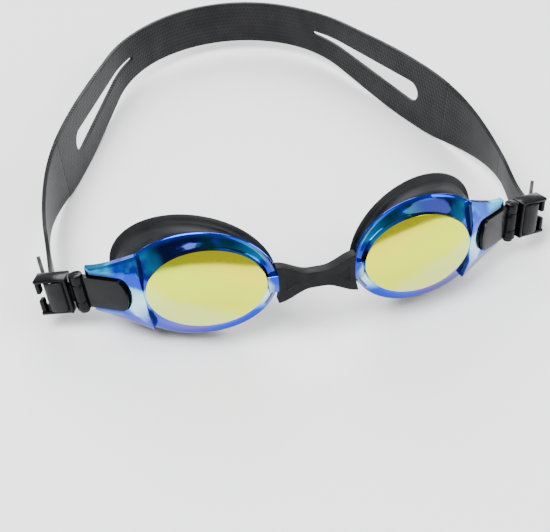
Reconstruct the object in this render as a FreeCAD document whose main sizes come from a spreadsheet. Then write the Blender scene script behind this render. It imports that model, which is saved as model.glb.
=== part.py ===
"""Swim goggles: mirrored lens shells, gaskets, nose bridge, hinged strap buckles, silicone strap.

Frame: +X to the right of someone facing the lenses, lenses face -Y, +Z up, and the strap lies on
z = 0. Right-hand pieces are modelled and the left-hand ones are their mirror images in x = 0.
A cup has a frame of its own: x outward to the temple, y back to the face, z up, with its origin at
the middle of the flat front oval.
"""
import FreeCAD
import Part
import math
import os
import re
import Sketcher

Vector = FreeCAD.Vector
Placement = FreeCAD.Placement
Rotation = FreeCAD.Rotation

X_AXIS = Vector(1, 0, 0)
Y_AXIS = Vector(0, 1, 0)
Z_AXIS = Vector(0, 0, 1)

SIZES = {
    # where the cups stand
    "lens_centre": 34.0,
    "centre_height": 23.9,
    "lean_back": 12.0,
    "wrap_angle": 13.0,
    "cup_roll": 7.0,
    "loop_centre": 79.2,
    # lens shell
    "facet_half_width": 19.0,
    "facet_half_height": 13.3,
    "facet_thickness": 1.8,
    "rim_half_width": 25.0,
    "rim_half_height": 18.0,
    "rim_shift": 3.0,
    "rim_depth": 4.2,
    "rim_tilt": 3.0,
    "shell_wall": 1.6,
    "wing_root": 21.0,
    "wing_reach": 38.3,
    "wing_half_root": 10.8,
    "wing_half_tip": 7.6,
    "wing_depth": 10.5,
    "wing_thickness": 2.6,
    "recess_nose": 24.2,
    "recess_half": 5.6,
    "recess_depth": 1.1,
    "tongue_reach": 25.6,
    "tongue_root": 19.3,
    "tongue_half": 2.8,
    "tongue_drop": 2.9,
    "tongue_depth": 2.0,
    "tongue_thickness": 1.8,
    # gasket
    "lip_depth": 13.4,
    "lip_tilt": 17.0,
    "lip_shift": 6.0,
    "lip_half_width": 28.5,
    "lip_half_height": 19.5,
    "lip_flare": 2.4,
    "lip_thickness": 1.8,
    "gasket_wall": 1.7,
    "gasket_inset": 0.9,
    # nose bridge
    "bridge_half_length": "=lens_centre - 22",
    "bridge_flank": "=lens_centre - 21.2",
    "bridge_half_end": 6.3,
    "bridge_half_waist": 2.7,
    "bridge_front": 5.6,
    "bridge_thickness": 4.4,
    "bridge_waist_half_length": 3.6,
    "bridge_end_half_flat": 2.0,
    # clip arm and hinge
    "arm_thickness": 2.0,
    "peg_reach": 33.5,
    "peg_radius": 1.6,
    "hinge_reach": 41.6,
    "hinge_depth": 11.2,
    "knuckle_radius": 2.3,
    "pin_radius": 0.8,
    "foot_radius": 1.7,
    "foot_length": 1.3,
    "knuckle_half": 3.0,
    # buckle
    "buckle_angle": 8.0,
    "buckle_half_height": "=narrow_half + cheek_room + cheek_thickness",
    "buckle_length": 13.6,
    "cheek_thickness": 1.2,
    "cheek_room": 0.25,
    "cheek_half_depth": 3.0,
    "post_start": 2.7,
    "post_end": 3.7,
    "bar_start": "=post_end + strap_thickness + 0.3",
    "bar_end": "=bar_start + 3.2",
    "bar_half_depth": 1.2,
    "hook_start": 12.0,
    "hook_front": 2.2,
    "hook_back": 0.6,
    "hook_gap": 2.2,
    # strap
    "strap_thickness": 1.3,
    "narrow_half": 4.9,
    "wide_half": 13.0,
    "band_half": 8.2,
    "strap_centre": "=wide_half",
    "side_gap": 2.1,
    "side_end": 84.0,
    "side_radius": 90.0,
    "side_angle": 26.0,
    "back_radius": 50.0,
    "back_depth": 164.5,
    "widen_start": 42.0,
    "widen_end": 97.0,
    "taper_start": 101.0,
    "taper_end": 158.0,
    "slot_start": 97.5,
    "slot_end": 149.0,
    "slot_half": 4.0,
    "slot_tip": 0.7,
    "wrap_bend": 1.2,
    "wrap_turn": "=bar_start - 0.15 - strap_thickness / 2",
    "wrap_offset": "=bar_half_depth + snap_clearance + strap_thickness / 2",
    "main_leg": 3.0,
    "tail_leg": 6.4,
    "main_leg_start": 8.9,
    "tail_leg_start": 9.8,
    "tail_length": 14.5,
    "tail_half_tip": 1.8,
    "tail_splay_right": 24.0,
    "tail_splay_left": 4.0,
    # clearances
    "snap_clearance": 0.1,
    "running_clearance": 0.05,
    "seat_clearance": 0.02,
    "soft_clearance": 0.3,
}

doc = FreeCAD.newDocument("swim_goggles")
sheet = doc.addObject("Spreadsheet::Sheet", "Sizes")
for row, alias in enumerate(SIZES, start=1):
    sheet.set(f"A{row}", alias)
    sheet.setAlias(f"B{row}", alias)
for row, value in sorted(enumerate(SIZES.values(), start=1), key=lambda item: isinstance(item[1], str)):
    sheet.set(f"B{row}", str(value))
doc.recompute()


def size(alias):
    """The value of one named cell of the sheet."""
    return float(sheet.get(alias))


def cell(text):
    """An expression in which each name of the sheet is written with its sheet."""
    return re.sub(r"[a-z_]+", lambda word: f"Sizes.{word[0]}" if word[0] in SIZES else word[0], text)


# ---------------------------------------------------------------- frames
def turn(axis, angle):
    """A placement that only turns."""
    return Placement(Vector(0, 0, 0), Rotation(axis, angle))


def move(x=0.0, y=0.0, z=0.0):
    """A placement that only moves."""
    return Placement(Vector(x, y, z), Rotation())


FRONT = move(y=-size("loop_centre"), z=size("centre_height")) * turn(X_AXIS, -size("lean_back"))
CUP = FRONT * move(x=size("lens_centre")) * turn(Z_AXIS, size("wrap_angle")) * turn(Y_AXIS, size("cup_roll"))
HINGE = CUP * move(x=size("hinge_reach"), y=size("hinge_depth")) * turn(Z_AXIS, size("buckle_angle"))
LOOP = move(y=-size("loop_centre"))


# ---------------------------------------------------------------- helpers
def new_body(label, placement):
    """An empty body that carries its node's name."""
    body = doc.addObject("PartDesign::Body", label)
    body.Label = label
    body.Placement = placement
    return body


def new_sketch(body, name, role, depth=None, tilt=None):
    """A sketch on one of the body's planes, moved back by depth and tilted about its upright axis."""
    sketch = body.newObject("Sketcher::SketchObject", name)
    plane = [feature for feature in body.Origin.OriginFeatures if feature.Role == role][0]
    sketch.AttachmentSupport = [(plane, "")]
    sketch.MapMode = "FlatFace"
    if tilt:
        sketch.AttachmentOffset = turn(Y_AXIS, 1.0)
        sketch.setExpression("AttachmentOffset.Rotation.Angle", cell(tilt))
    if depth:
        sketch.setExpression("AttachmentOffset.Base.z", cell(f"-({depth})"))
    return sketch


def pin_point(sketch, geometry, position, across, up):
    """Tie one point of a sketch to the sketch's origin by two named sizes."""
    for kind, expression in (("DistanceX", across), ("DistanceY", up)):
        index = sketch.addConstraint(Sketcher.Constraint(kind, -1, 1, geometry, position, 1.0))
        sketch.setExpression(f"Constraints[{index}]", cell(expression))


def ellipse(sketch, centre, half_width, half_height):
    """A closed ellipse, its long axis level and its middle at centre on the level axis."""
    oval = sketch.addGeometry(Part.Ellipse(Vector(20, 0, 0), Vector(0, 12, 0), Vector(0, 0, 0)), False)
    sketch.exposeInternalGeometry(oval)
    long_axis = oval + 1
    short_axis = oval + 2
    sketch.addConstraint(Sketcher.Constraint("Horizontal", long_axis))
    for line, half, start in ((long_axis, half_width, 40.0), (short_axis, half_height, 24.0)):
        index = sketch.addConstraint(Sketcher.Constraint("Distance", line, start))
        sketch.setExpression(f"Constraints[{index}]", cell(f"2 * ({half})"))
    pin_point(sketch, oval, 3, centre, "0")


def circle(sketch, across, up, radius):
    """A closed circle."""
    ring = sketch.addGeometry(Part.Circle(Vector(0, 0, 0), Vector(0, 0, 1), 2.0), False)
    index = sketch.addConstraint(Sketcher.Constraint("Radius", ring, 2.0))
    sketch.setExpression(f"Constraints[{index}]", cell(radius))
    pin_point(sketch, ring, 3, across, up)


def polygon(sketch, corners):
    """A closed outline of straight lines; each corner is a pair of expressions."""
    count = len(corners)
    step = 2 * math.pi / count
    ring = [Vector(10 * math.cos(step * index), 10 * math.sin(step * index), 0) for index in range(count)]
    for index in range(count):
        sketch.addGeometry(Part.LineSegment(ring[index], ring[(index + 1) % count]), False)
    for index in range(count):
        sketch.addConstraint(Sketcher.Constraint("Coincident", index, 2, (index + 1) % count, 1))
    for index, (across, up) in enumerate(corners):
        pin_point(sketch, index, 1, across, up)


def loft(body, name, kind, sections):
    """An additive or a subtractive loft through sketches."""
    feature = body.newObject(f"PartDesign::{kind}Loft", name)
    feature.Profile = sections[0]
    feature.Sections = sections[1:]
    doc.recompute()


def pad(body, name, sketch, length, both_ways=False):
    """A pad of a sketch: back from an upright plane, or half each way."""
    feature = body.newObject("PartDesign::Pad", name)
    feature.Profile = sketch
    feature.setExpression("Length", cell(length))
    feature.Midplane = both_ways
    feature.Reversed = not both_ways
    doc.recompute()


def pocket(body, name, sketch, length=None):
    """A pocket of a sketch, half each way or through everything, that has to remove something."""
    doc.recompute()
    before = body.Shape.Volume
    feature = body.newObject("PartDesign::Pocket", name)
    feature.Profile = sketch
    feature.Midplane = True
    if length:
        feature.setExpression("Length", cell(length))
    else:
        feature.Type = 1
    doc.recompute()
    if body.Shape.Volume > before - 0.01:
        raise RuntimeError(f"{name} removes nothing from {body.Label}")


def block(name, low, high):
    """A box between two corners, each of them three expressions."""
    box = doc.addObject("Part::Box", name)
    for side, axis, start, end in zip(("Length", "Width", "Height"), "xyz", low, high):
        box.setExpression(side, cell(f"({end}) - ({start})"))
        box.setExpression(f"Placement.Base.{axis}", cell(start))
    return box


def upright_cylinder(name, radius, half_height):
    """A cylinder about the local Z axis, half of it below the origin."""
    cylinder = doc.addObject("Part::Cylinder", name)
    cylinder.setExpression("Radius", cell(radius))
    cylinder.setExpression("Height", cell(f"2 * ({half_height})"))
    cylinder.setExpression("Placement.Base.z", cell(f"-({half_height})"))
    return cylinder


def mirrored(source, label):
    """The left-hand copy of a right-hand piece."""
    copy = doc.addObject("Part::Mirroring", label)
    copy.Label = label
    copy.Source = source
    copy.Normal = X_AXIS
    copy.Base = Vector(0, 0, 0)
    return copy


# ---------------------------------------------------------------- lens shell
WING_SLOPE = "wing_depth / (wing_reach - facet_half_width)"


def wing_line(across, offset="0"):
    """How far back the wing's front face is at a distance outward, moved back by offset."""
    return f"({WING_SLOPE}) * (({across}) - facet_half_width) + ({offset})"


def rim_sketch(body, name, inset):
    """The shell's rear edge, or a smaller oval inside it, on its tilted plane."""
    sketch = new_sketch(body, name, "XZ_Plane", depth="rim_depth", tilt="rim_tilt")
    ellipse(sketch, "rim_shift", f"rim_half_width - ({inset})", f"rim_half_height - ({inset})")
    return sketch


def lip_sketch(body, name, inset):
    """The gasket's rear oval, or a smaller one, on the plane that meets the face."""
    sketch = new_sketch(body, name, "XZ_Plane", depth="lip_depth", tilt="lip_tilt")
    ellipse(sketch, "lip_shift", f"lip_half_width - ({inset})", f"lip_half_height - ({inset})")
    return sketch


def make_lens():
    """Hollow polycarbonate shell: flat oval, flared surround, temple wing and nasal tongue."""
    body = new_body("lens_right", CUP)
    wing = new_sketch(body, "wing_outline", "XZ_Plane")
    polygon(wing, [
        ("wing_root", "-wing_half_root"),
        ("wing_reach", "-wing_half_tip"),
        ("wing_reach", "wing_half_tip"),
        ("wing_root", "wing_half_root"),
    ])
    pad(body, "wing", wing, "wing_depth + 2 * wing_thickness")
    front = new_sketch(body, "wing_front", "XY_Plane")
    polygon(front, [
        ("facet_half_width", "-1"),
        ("wing_reach + 1", "-1"),
        ("wing_reach + 1", wing_line("wing_reach + 1")),
        ("facet_half_width", "0"),
    ])
    pocket(body, "wing_front_face", front)
    rear = new_sketch(body, "wing_rear", "XY_Plane")
    polygon(rear, [
        ("wing_root - 1", wing_line("wing_root - 1", "wing_thickness")),
        ("wing_reach + 1", wing_line("wing_reach + 1", "wing_thickness")),
        ("wing_reach + 1", "wing_depth + 4 * wing_thickness"),
        ("wing_root - 1", "wing_depth + 4 * wing_thickness"),
    ])
    pocket(body, "wing_rear_face", rear)
    tongue_start = "tongue_depth - tongue_thickness / 2"
    tongue = new_sketch(body, "tongue_outline", "XZ_Plane", depth=tongue_start)
    polygon(tongue, [
        ("-tongue_reach", "-tongue_drop - tongue_half"),
        ("-tongue_root", "-tongue_drop - tongue_half"),
        ("-tongue_root", "-tongue_drop + tongue_half"),
        ("-tongue_reach", "-tongue_drop + tongue_half"),
    ])
    oval = new_sketch(body, "oval", "XZ_Plane")
    ellipse(oval, "0", "facet_half_width", "facet_half_height")
    loft(body, "surround", "Additive", [oval, rim_sketch(body, "rim", "0")])
    pad(body, "tongue", tongue, "tongue_thickness")
    inner_oval = new_sketch(body, "inner_oval", "XZ_Plane", depth="facet_thickness")
    ellipse(inner_oval, "0", "facet_half_width - shell_wall", "facet_half_height - shell_wall")
    loft(body, "eye_hollow", "Subtractive", [inner_oval, rim_sketch(body, "inner_rim", "shell_wall")])
    seat_rim = rim_sketch(body, "seat_rim", "gasket_inset - seat_clearance")
    seat_lip = lip_sketch(body, "seat_lip", "lip_flare - seat_clearance")
    loft(body, "gasket_seat", "Subtractive", [seat_rim, seat_lip])
    recess = new_sketch(body, "recess_floor", "XY_Plane")
    polygon(recess, [
        ("recess_nose", "-1"),
        ("wing_reach + 1", "-1"),
        ("wing_reach + 1", wing_line("wing_reach + 1", "recess_depth")),
        ("recess_nose", wing_line("recess_nose", "recess_depth")),
    ])
    pocket(body, "recess", recess, "2 * recess_half")
    hole = new_sketch(body, "peg_hole_circle", "XZ_Plane")
    circle(hole, "peg_reach", "0", "peg_radius + snap_clearance")
    pocket(body, "peg_hole", hole)
    return body


# ---------------------------------------------------------------- gasket
def make_gasket():
    """Soft seal: an oval side wall behind the shell and a flared lip that meets the face."""
    body = new_body("gasket_right", CUP)
    wall_front = rim_sketch(body, "wall_front", "gasket_inset")
    wall_rear = lip_sketch(body, "wall_rear", "lip_flare")
    loft(body, "side_wall", "Additive", [wall_front, wall_rear])
    lip = new_sketch(body, "lip_front", "XZ_Plane", depth="lip_depth - lip_thickness", tilt="lip_tilt")
    ellipse(lip, "lip_shift", "lip_half_width - lip_flare / 2", "lip_half_height - lip_flare / 2")
    loft(body, "face_lip", "Additive", [lip, lip_sketch(body, "lip_rear", "0")])
    hollow_front = rim_sketch(body, "hollow_front", "gasket_inset + gasket_wall")
    hollow_rear = lip_sketch(body, "hollow_rear", "lip_flare + gasket_wall")
    loft(body, "face_hollow", "Subtractive", [hollow_front, hollow_rear])
    return body


# ---------------------------------------------------------------- nose bridge
def make_bridge():
    """Soft hourglass link with a socket at each end for the lens tongues."""
    body = new_body("bridge_solid", FRONT)
    outline = new_sketch(body, "hourglass", "XZ_Plane", depth="-bridge_front")
    quarter = [
        ("bridge_half_length", "bridge_end_half_flat"),
        ("bridge_flank", "bridge_half_end"),
        ("bridge_waist_half_length", "bridge_half_waist"),
    ]
    right_top = quarter
    left_top = [(f"-{across}", up) for across, up in reversed(quarter)]
    left_low = [(f"-{across}", f"-{up}") for across, up in quarter]
    right_low = [(across, f"-{up}") for across, up in reversed(quarter)]
    polygon(outline, right_top + left_top + left_low + right_low)
    pad(body, "hourglass_pad", outline, "bridge_thickness")
    socket = block(
        "socket_right",
        ("-tongue_reach - 2 * snap_clearance", "tongue_depth - tongue_thickness / 2 - snap_clearance",
         "-tongue_drop - tongue_half - snap_clearance"),
        ("-tongue_root", "tongue_depth + tongue_thickness / 2 + snap_clearance",
         "-tongue_drop + tongue_half + snap_clearance"),
    )
    right_socket = doc.addObject("Part::Compound", "socket_cutter")
    right_socket.Links = [socket]
    right_socket.Placement = CUP
    sockets = doc.addObject("Part::MultiFuse", "both_sockets")
    sockets.Shapes = [right_socket, mirrored(right_socket, "socket_left")]
    bridge = doc.addObject("Part::Cut", "nose_bridge")
    bridge.Label = "nose_bridge"
    bridge.Base = body
    bridge.Tool = sockets
    return bridge


# ---------------------------------------------------------------- clip arm and hinge pin
def make_arm():
    """Black arm that lies in the wing's recess, held by a peg, and ends in two hinge knuckles."""
    body = new_body("clip_arm_right", CUP)
    plan = new_sketch(body, "arm_plan", "XY_Plane")
    back_line = "recess_depth - snap_clearance / 2"
    front_line = f"{back_line} - arm_thickness"
    nose = "recess_nose + snap_clearance"
    polygon(plan, [
        (nose, wing_line(nose, front_line)),
        ("hinge_reach", wing_line("hinge_reach", front_line)),
        ("hinge_reach", wing_line("hinge_reach", back_line)),
        (nose, wing_line(nose, back_line)),
    ])
    pad(body, "arm_plate", plan, "2 * (recess_half - snap_clearance)", both_ways=True)
    knuckles = new_sketch(body, "knuckle_circle", "XY_Plane")
    circle(knuckles, "hinge_reach", "hinge_depth", "knuckle_radius")
    pad(body, "knuckles", knuckles, "2 * buckle_half_height", both_ways=True)
    room = new_sketch(body, "barrel_room_circle", "XY_Plane")
    circle(room, "hinge_reach", "hinge_depth", "knuckle_radius + soft_clearance")
    pocket(body, "barrel_room", room, "2 * (knuckle_half + snap_clearance)")
    bore = new_sketch(body, "pin_bore_circle", "XY_Plane")
    circle(bore, "hinge_reach", "hinge_depth", "pin_radius + seat_clearance")
    pocket(body, "pin_bore", bore)
    peg = new_sketch(body, "peg_circle", "XZ_Plane", depth=wing_line("peg_reach", "0"))
    circle(peg, "peg_reach", "0", "peg_radius")
    pad(body, "peg", peg, "wing_thickness + snap_clearance")
    return body


def make_pin():
    """Hinge pin with a rounded foot under the lower knuckle."""
    body = new_body("hinge_pin_right", HINGE)
    profile = new_sketch(body, "pin_profile", "XZ_Plane")
    shoulder = "-buckle_half_height - seat_clearance"
    polygon(profile, [
        ("0", "buckle_half_height"),
        ("0", f"{shoulder} - foot_length"),
        ("foot_radius * 0.6", f"{shoulder} - foot_length"),
        ("foot_radius", f"{shoulder} - foot_length / 2"),
        ("foot_radius", shoulder),
        ("pin_radius", shoulder),
        ("pin_radius", "buckle_half_height"),
    ])
    feature = body.newObject("PartDesign::Revolution", "pin_turning")
    feature.Profile = profile
    feature.ReferenceAxis = (profile, ["V_Axis"])
    feature.Angle = 360
    doc.recompute()
    return body


# ---------------------------------------------------------------- buckle
def make_buckle():
    """Frame that swings on the pin: barrel, post, two cheeks, centre bar and a split outer bar."""
    inside = "buckle_half_height - cheek_thickness"
    solids = [
        upright_cylinder("barrel", "knuckle_radius", "knuckle_half"),
        block("web", ("0", "-bar_half_depth", "-knuckle_half"), ("post_end", "bar_half_depth", "knuckle_half")),
        block("post", ("post_start", "-cheek_half_depth", "-buckle_half_height"),
              ("post_end", "cheek_half_depth", "buckle_half_height")),
        block("cheek_top", ("post_start", "-cheek_half_depth", inside),
              ("buckle_length", "cheek_half_depth", "buckle_half_height")),
        block("cheek_low", ("post_start", "-cheek_half_depth", "-buckle_half_height"),
              ("buckle_length", "cheek_half_depth", f"-({inside})")),
        block("centre_bar", ("bar_start", "-bar_half_depth", "-buckle_half_height"),
              ("bar_end", "bar_half_depth", "buckle_half_height")),
        block("hook_top", ("hook_start", "-hook_front", "hook_gap / 2"),
              ("buckle_length", "hook_back", "buckle_half_height")),
        block("hook_low", ("hook_start", "-hook_front", "-buckle_half_height"),
              ("buckle_length", "hook_back", "-hook_gap / 2")),
    ]
    frame = doc.addObject("Part::MultiFuse", "buckle_frame")
    frame.Shapes = solids
    buckle = doc.addObject("Part::Cut", "buckle_right")
    buckle.Label = "buckle_right"
    buckle.Base = frame
    buckle.Tool = upright_cylinder("barrel_bore", "pin_radius + running_clearance", "knuckle_half + 1")
    buckle.Placement = HINGE
    return buckle


# ---------------------------------------------------------------- strap
def ribbon(corners, bends, low, high):
    """An upright ribbon of the strap's thickness along a plan path of tangent runs and arcs."""
    half = size("strap_thickness") / 2
    sides = {half: [], -half: []}
    corners = [corner + Vector(0, 0, low) for corner in corners]
    start = corners[0]
    for index in range(1, len(corners)):
        corner = corners[index]
        heading = (corner - corners[index - 1]).normalize()
        left = Vector(-heading.y, heading.x, 0)
        end = corner
        bend = None
        if index < len(corners) - 1:
            following = (corners[index + 1] - corner).normalize()
            side = 1 if heading.cross(following).z > 0 else -1
            angle = heading.getAngle(following)
            reach = bends[index - 1] * math.tan(angle / 2)
            end = corner - heading * reach
            bend = (end + left * side * bends[index - 1], side, angle, corner + following * reach)
        for offset, edges in sides.items():
            edges.append(Part.LineSegment(start + left * offset, end + left * offset).toShape())
            if bend:
                centre, side, angle, _ = bend
                first = end + left * offset - centre
                points = [centre + Rotation(Z_AXIS, math.degrees(side * angle * part)).multVec(first)
                          for part in (0, 0.5, 1)]
                edges.append(Part.Arc(*points).toShape())
        start = bend[3] if bend else end
    left_edges, right_edges = sides[half], sides[-half]
    caps = [
        Part.LineSegment(left_edges[-1].Vertexes[-1].Point, right_edges[-1].Vertexes[-1].Point).toShape(),
        Part.LineSegment(right_edges[0].Vertexes[0].Point, left_edges[0].Vertexes[0].Point).toShape(),
    ]
    outline = Part.Wire(Part.__sortEdges__(left_edges + right_edges + caps))
    return Part.Face(outline).extrude(Vector(0, 0, high - low))


def leg_direction():
    """Heading of both strap legs behind the buckle, in the buckle's plan."""
    angle = math.radians(90 - size("wrap_angle") - size("buckle_angle"))
    return Vector(math.cos(angle), math.sin(angle), 0)


def side_start():
    """Where the strap's side run begins, in the loop's plan: just behind the buckle's main leg."""
    corner = Vector(size("main_leg_start"), size("wrap_offset"), 0)
    end = (LOOP.inverse() * HINGE).multVec(corner + leg_direction() * size("main_leg"))
    return Vector(end.x, end.y + size("side_gap"), 0)


def loop_corners():
    """Corners of the strap's plan path, from the right buckle round the back to the left one."""
    slant = math.radians(size("side_angle"))
    start = side_start()
    back_middle = size("back_depth") - size("back_radius")
    apex = back_middle + size("back_radius") / math.sin(slant)
    bend = apex - start.x / math.tan(slant)
    return [
        start,
        Vector(start.x, bend, 0),
        Vector(0, apex, 0),
        Vector(-start.x, bend, 0),
        Vector(-start.x, start.y, 0),
    ]


def edge_line(sign):
    """Upper (+1) or lower (-1) edge of the strap seen from the side, from the buckle to the back."""
    middle = size("strap_centre")
    narrow = middle + sign * size("narrow_half")
    wide = middle + sign * size("wide_half")
    band = middle + sign * size("band_half")

    def swell(start, end, start_height, end_height):
        third = (end - start) / 3
        curve = Part.BezierCurve()
        curve.setPoles([
            Vector(0, start, start_height),
            Vector(0, start + third, start_height),
            Vector(0, end - third, end_height),
            Vector(0, end, end_height),
        ])
        return curve.toShape()

    def level(start, end, height):
        return Part.LineSegment(Vector(0, start, height), Vector(0, end, height)).toShape()

    widen_start, widen_end = size("widen_start"), size("widen_end")
    taper_start, taper_end = size("taper_start"), size("taper_end")
    return [
        level(0, widen_start, narrow),
        swell(widen_start, widen_end, narrow, wide),
        level(widen_end, taper_start, wide),
        swell(taper_start, taper_end, wide, band),
        level(taper_end, size("back_depth") + 10, band),
    ]


def side_silhouette():
    """Solid, endless in x, whose outline is the strap's outline seen from the side."""
    upper, lower = edge_line(1), edge_line(-1)
    near = Part.LineSegment(lower[0].Vertexes[0].Point, upper[0].Vertexes[0].Point).toShape()
    far = Part.LineSegment(lower[-1].Vertexes[-1].Point, upper[-1].Vertexes[-1].Point).toShape()
    outline = Part.Wire(Part.__sortEdges__(upper + lower + [near, far]))
    solid = Part.Face(outline).extrude(Vector(2 * size("back_depth"), 0, 0))
    solid.translate(Vector(-size("back_depth"), 0, 0))
    return solid


def slot_cutter():
    """Long tapered slot, round at its wide outer end, cut through both sides at once."""
    middle = size("strap_centre")
    start, end = size("slot_start"), size("slot_end")
    half, tip = size("slot_half"), size("slot_tip")
    top = Vector(0, start + half, middle + half)
    low = Vector(0, start + half, middle - half)
    tip_top = Vector(0, end - tip, middle + tip)
    tip_low = Vector(0, end - tip, middle - tip)
    outline = Part.Wire([
        Part.Arc(top, Vector(0, start, middle), low).toShape(),
        Part.LineSegment(low, tip_low).toShape(),
        Part.Arc(tip_low, Vector(0, end, middle), tip_top).toShape(),
        Part.LineSegment(tip_top, top).toShape(),
    ])
    solid = Part.Face(outline).extrude(Vector(2 * size("back_depth"), 0, 0))
    solid.translate(Vector(-size("back_depth"), 0, 0))
    return solid


def slab(start, end, right_only=False):
    """Block between two depths, for cutting the loop into its pieces."""
    reach = size("back_depth")
    corner = Vector(0 if right_only else -reach, start, -reach)
    return Part.makeBox(reach if right_only else 2 * reach, end - start, 2 * reach, corner)


def shaped(label, shape, placement):
    """A piece whose shape is worked out from the sheet by code."""
    feature = doc.addObject("Part::Feature", label)
    feature.Label = label
    feature.Shape = shape
    feature.Placement = placement
    return feature


def make_loop():
    """The wide band with its two slots, and the narrow right-hand side run."""
    high = size("strap_centre") + size("wide_half")
    low = size("strap_centre") - size("wide_half")
    bends = [size("side_radius"), size("back_radius"), size("side_radius")]
    loop = ribbon(loop_corners(), bends, low, high).common(side_silhouette())
    band_start = size("side_end") + size("soft_clearance")
    band = loop.common(slab(band_start, size("back_depth") + 10)).cut(slot_cutter())
    side = loop.common(slab(side_start().y, size("side_end"), right_only=True))
    shaped("strap_band", band.Solids[0], LOOP)
    return shaped("strap_side_right", side.Solids[0], LOOP)


def tail_base():
    """Where the tail leg ends, in the buckle's plan."""
    return Vector(size("tail_leg_start"), -size("wrap_offset"), 0) + leg_direction() * size("tail_leg")


def make_wrap():
    """The strap's turn round the centre bar, from the main run to the tail."""
    offset = size("wrap_offset")
    main_corner = Vector(size("main_leg_start"), offset, 0)
    path = [
        main_corner + leg_direction() * size("main_leg"),
        main_corner,
        Vector(size("wrap_turn"), offset, 0),
        Vector(size("wrap_turn"), -offset, 0),
        Vector(size("tail_leg_start"), -offset, 0),
        tail_base(),
    ]
    half = size("narrow_half")
    solid = ribbon(path, [size("wrap_bend")] * 4, -half, half)
    return shaped("strap_wrap_right", solid, HINGE)


def make_tail(label, splay):
    """Free end of the strap: a short tongue narrowing to a blunt point."""
    heading = 90 - size("wrap_angle") - size("buckle_angle") - size(splay)
    start = tail_base() + leg_direction() * size("soft_clearance")
    body = new_body(label, HINGE * Placement(start, Rotation(Z_AXIS, heading)))
    outline = new_sketch(body, f"{label}_outline", "XZ_Plane")
    polygon(outline, [
        ("0", "-narrow_half"),
        ("tail_length - narrow_half", "-narrow_half * 0.8"),
        ("tail_length", "-tail_half_tip"),
        ("tail_length", "tail_half_tip"),
        ("tail_length - narrow_half", "narrow_half * 0.8"),
        ("0", "narrow_half"),
    ])
    pad(body, f"{label}_pad", outline, "strap_thickness", both_ways=True)
    return body


# ---------------------------------------------------------------- assembly
for piece in (make_lens(), make_gasket(), make_arm(), make_pin(), make_buckle(), make_loop(), make_wrap()):
    mirrored(piece, piece.Label.replace("right", "left"))
make_bridge()
make_tail("strap_tail_right", "tail_splay_right")
mirrored(make_tail("tail_left_source", "tail_splay_left"), "strap_tail_left")
doc.recompute()

PAIRED = ("lens", "gasket", "clip_arm", "hinge_pin", "buckle", "strap_side", "strap_wrap", "strap_tail")
NODES = ["nose_bridge", "strap_band"] + [f"{name}_{side}" for name in PAIRED for side in ("left", "right")]

for thing in doc.Objects:
    if "Invalid" in thing.State or "Error" in thing.State:
        raise RuntimeError(f"{thing.Label} failed: {thing.State}")
pieces = {thing.Label: thing for thing in doc.Objects if thing.Label in NODES}
for name in NODES:
    shape = pieces[name].Shape
    if shape.isNull() or not shape.isValid() or len(shape.Solids) != 1:
        raise RuntimeError(f"{name} is not one valid solid")

os.makedirs("parts", exist_ok=True)
for name in NODES:
    pieces[name].Shape.exportStep(f"parts/{name}.step")
    bounds = pieces[name].Shape.optimalBoundingBox()
    print(f"{name:18s} volume {pieces[name].Shape.Volume:9.1f}  x {bounds.XMin:7.2f} {bounds.XMax:7.2f}"
          f"  y {bounds.YMin:7.2f} {bounds.YMax:7.2f}  z {bounds.ZMin:6.2f} {bounds.ZMax:6.2f}")
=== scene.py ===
"""Swim goggles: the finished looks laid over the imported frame.

The cups, bridge, clips, buckles and strap are modelled here in their own working frames, in
millimetres, and then set in place in metres. A cup's frame has x outward to the temple, y back to
the face and z up, with its origin at the middle of the flat front oval.
"""
import logging
import math
from dataclasses import dataclass, field, replace
from enum import Enum
from typing import Callable, Sequence

import bmesh
import bpy
from mathutils import Matrix, Vector


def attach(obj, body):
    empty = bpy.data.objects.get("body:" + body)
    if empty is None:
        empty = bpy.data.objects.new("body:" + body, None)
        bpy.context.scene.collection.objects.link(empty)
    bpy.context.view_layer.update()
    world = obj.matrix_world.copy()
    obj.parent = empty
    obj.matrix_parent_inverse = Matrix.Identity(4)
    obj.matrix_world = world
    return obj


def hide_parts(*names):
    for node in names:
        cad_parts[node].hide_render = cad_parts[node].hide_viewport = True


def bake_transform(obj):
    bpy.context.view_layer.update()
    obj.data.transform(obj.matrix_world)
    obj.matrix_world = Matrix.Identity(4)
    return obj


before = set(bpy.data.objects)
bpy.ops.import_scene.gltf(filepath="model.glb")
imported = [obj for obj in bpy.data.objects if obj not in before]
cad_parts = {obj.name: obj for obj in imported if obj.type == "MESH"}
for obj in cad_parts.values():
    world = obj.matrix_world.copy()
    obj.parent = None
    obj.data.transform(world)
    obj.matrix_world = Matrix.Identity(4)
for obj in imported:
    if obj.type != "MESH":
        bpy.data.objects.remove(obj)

LOG = logging.getLogger("goggles")
MILLIMETRE = 0.001
Piece = bpy.types.Object
Material = bpy.types.Material
Socket = bpy.types.NodeSocket
Colour = tuple[float, float, float]
Rule = Callable[[Vector], bool]


class Hand(Enum):
    """Which side of the face a piece is on."""

    RIGHT = "right"
    LEFT = "left"


class Join(Enum):
    """What a second solid does to the first."""

    UNITE = "UNION"
    CUT = "DIFFERENCE"


class Axis(Enum):
    """The direction that a loft's sections are stacked along."""

    BACK = "back"
    UP = "up"


class Coat(Enum):
    """The lens shell's material slots."""

    OVAL = 0
    SURROUND = 1
    INSIDE = 2


def ease(value: float) -> float:
    """0 to 1 with level ends, held outside them."""
    value = min(1.0, max(0.0, value))
    return value * value * (3 - 2 * value)


# ---------------------------------------------------------------- working frames
def moved(x: float = 0.0, y: float = 0.0, z: float = 0.0) -> Matrix:
    """A frame that is only moved."""
    return Matrix.Translation((x, y, z))


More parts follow.
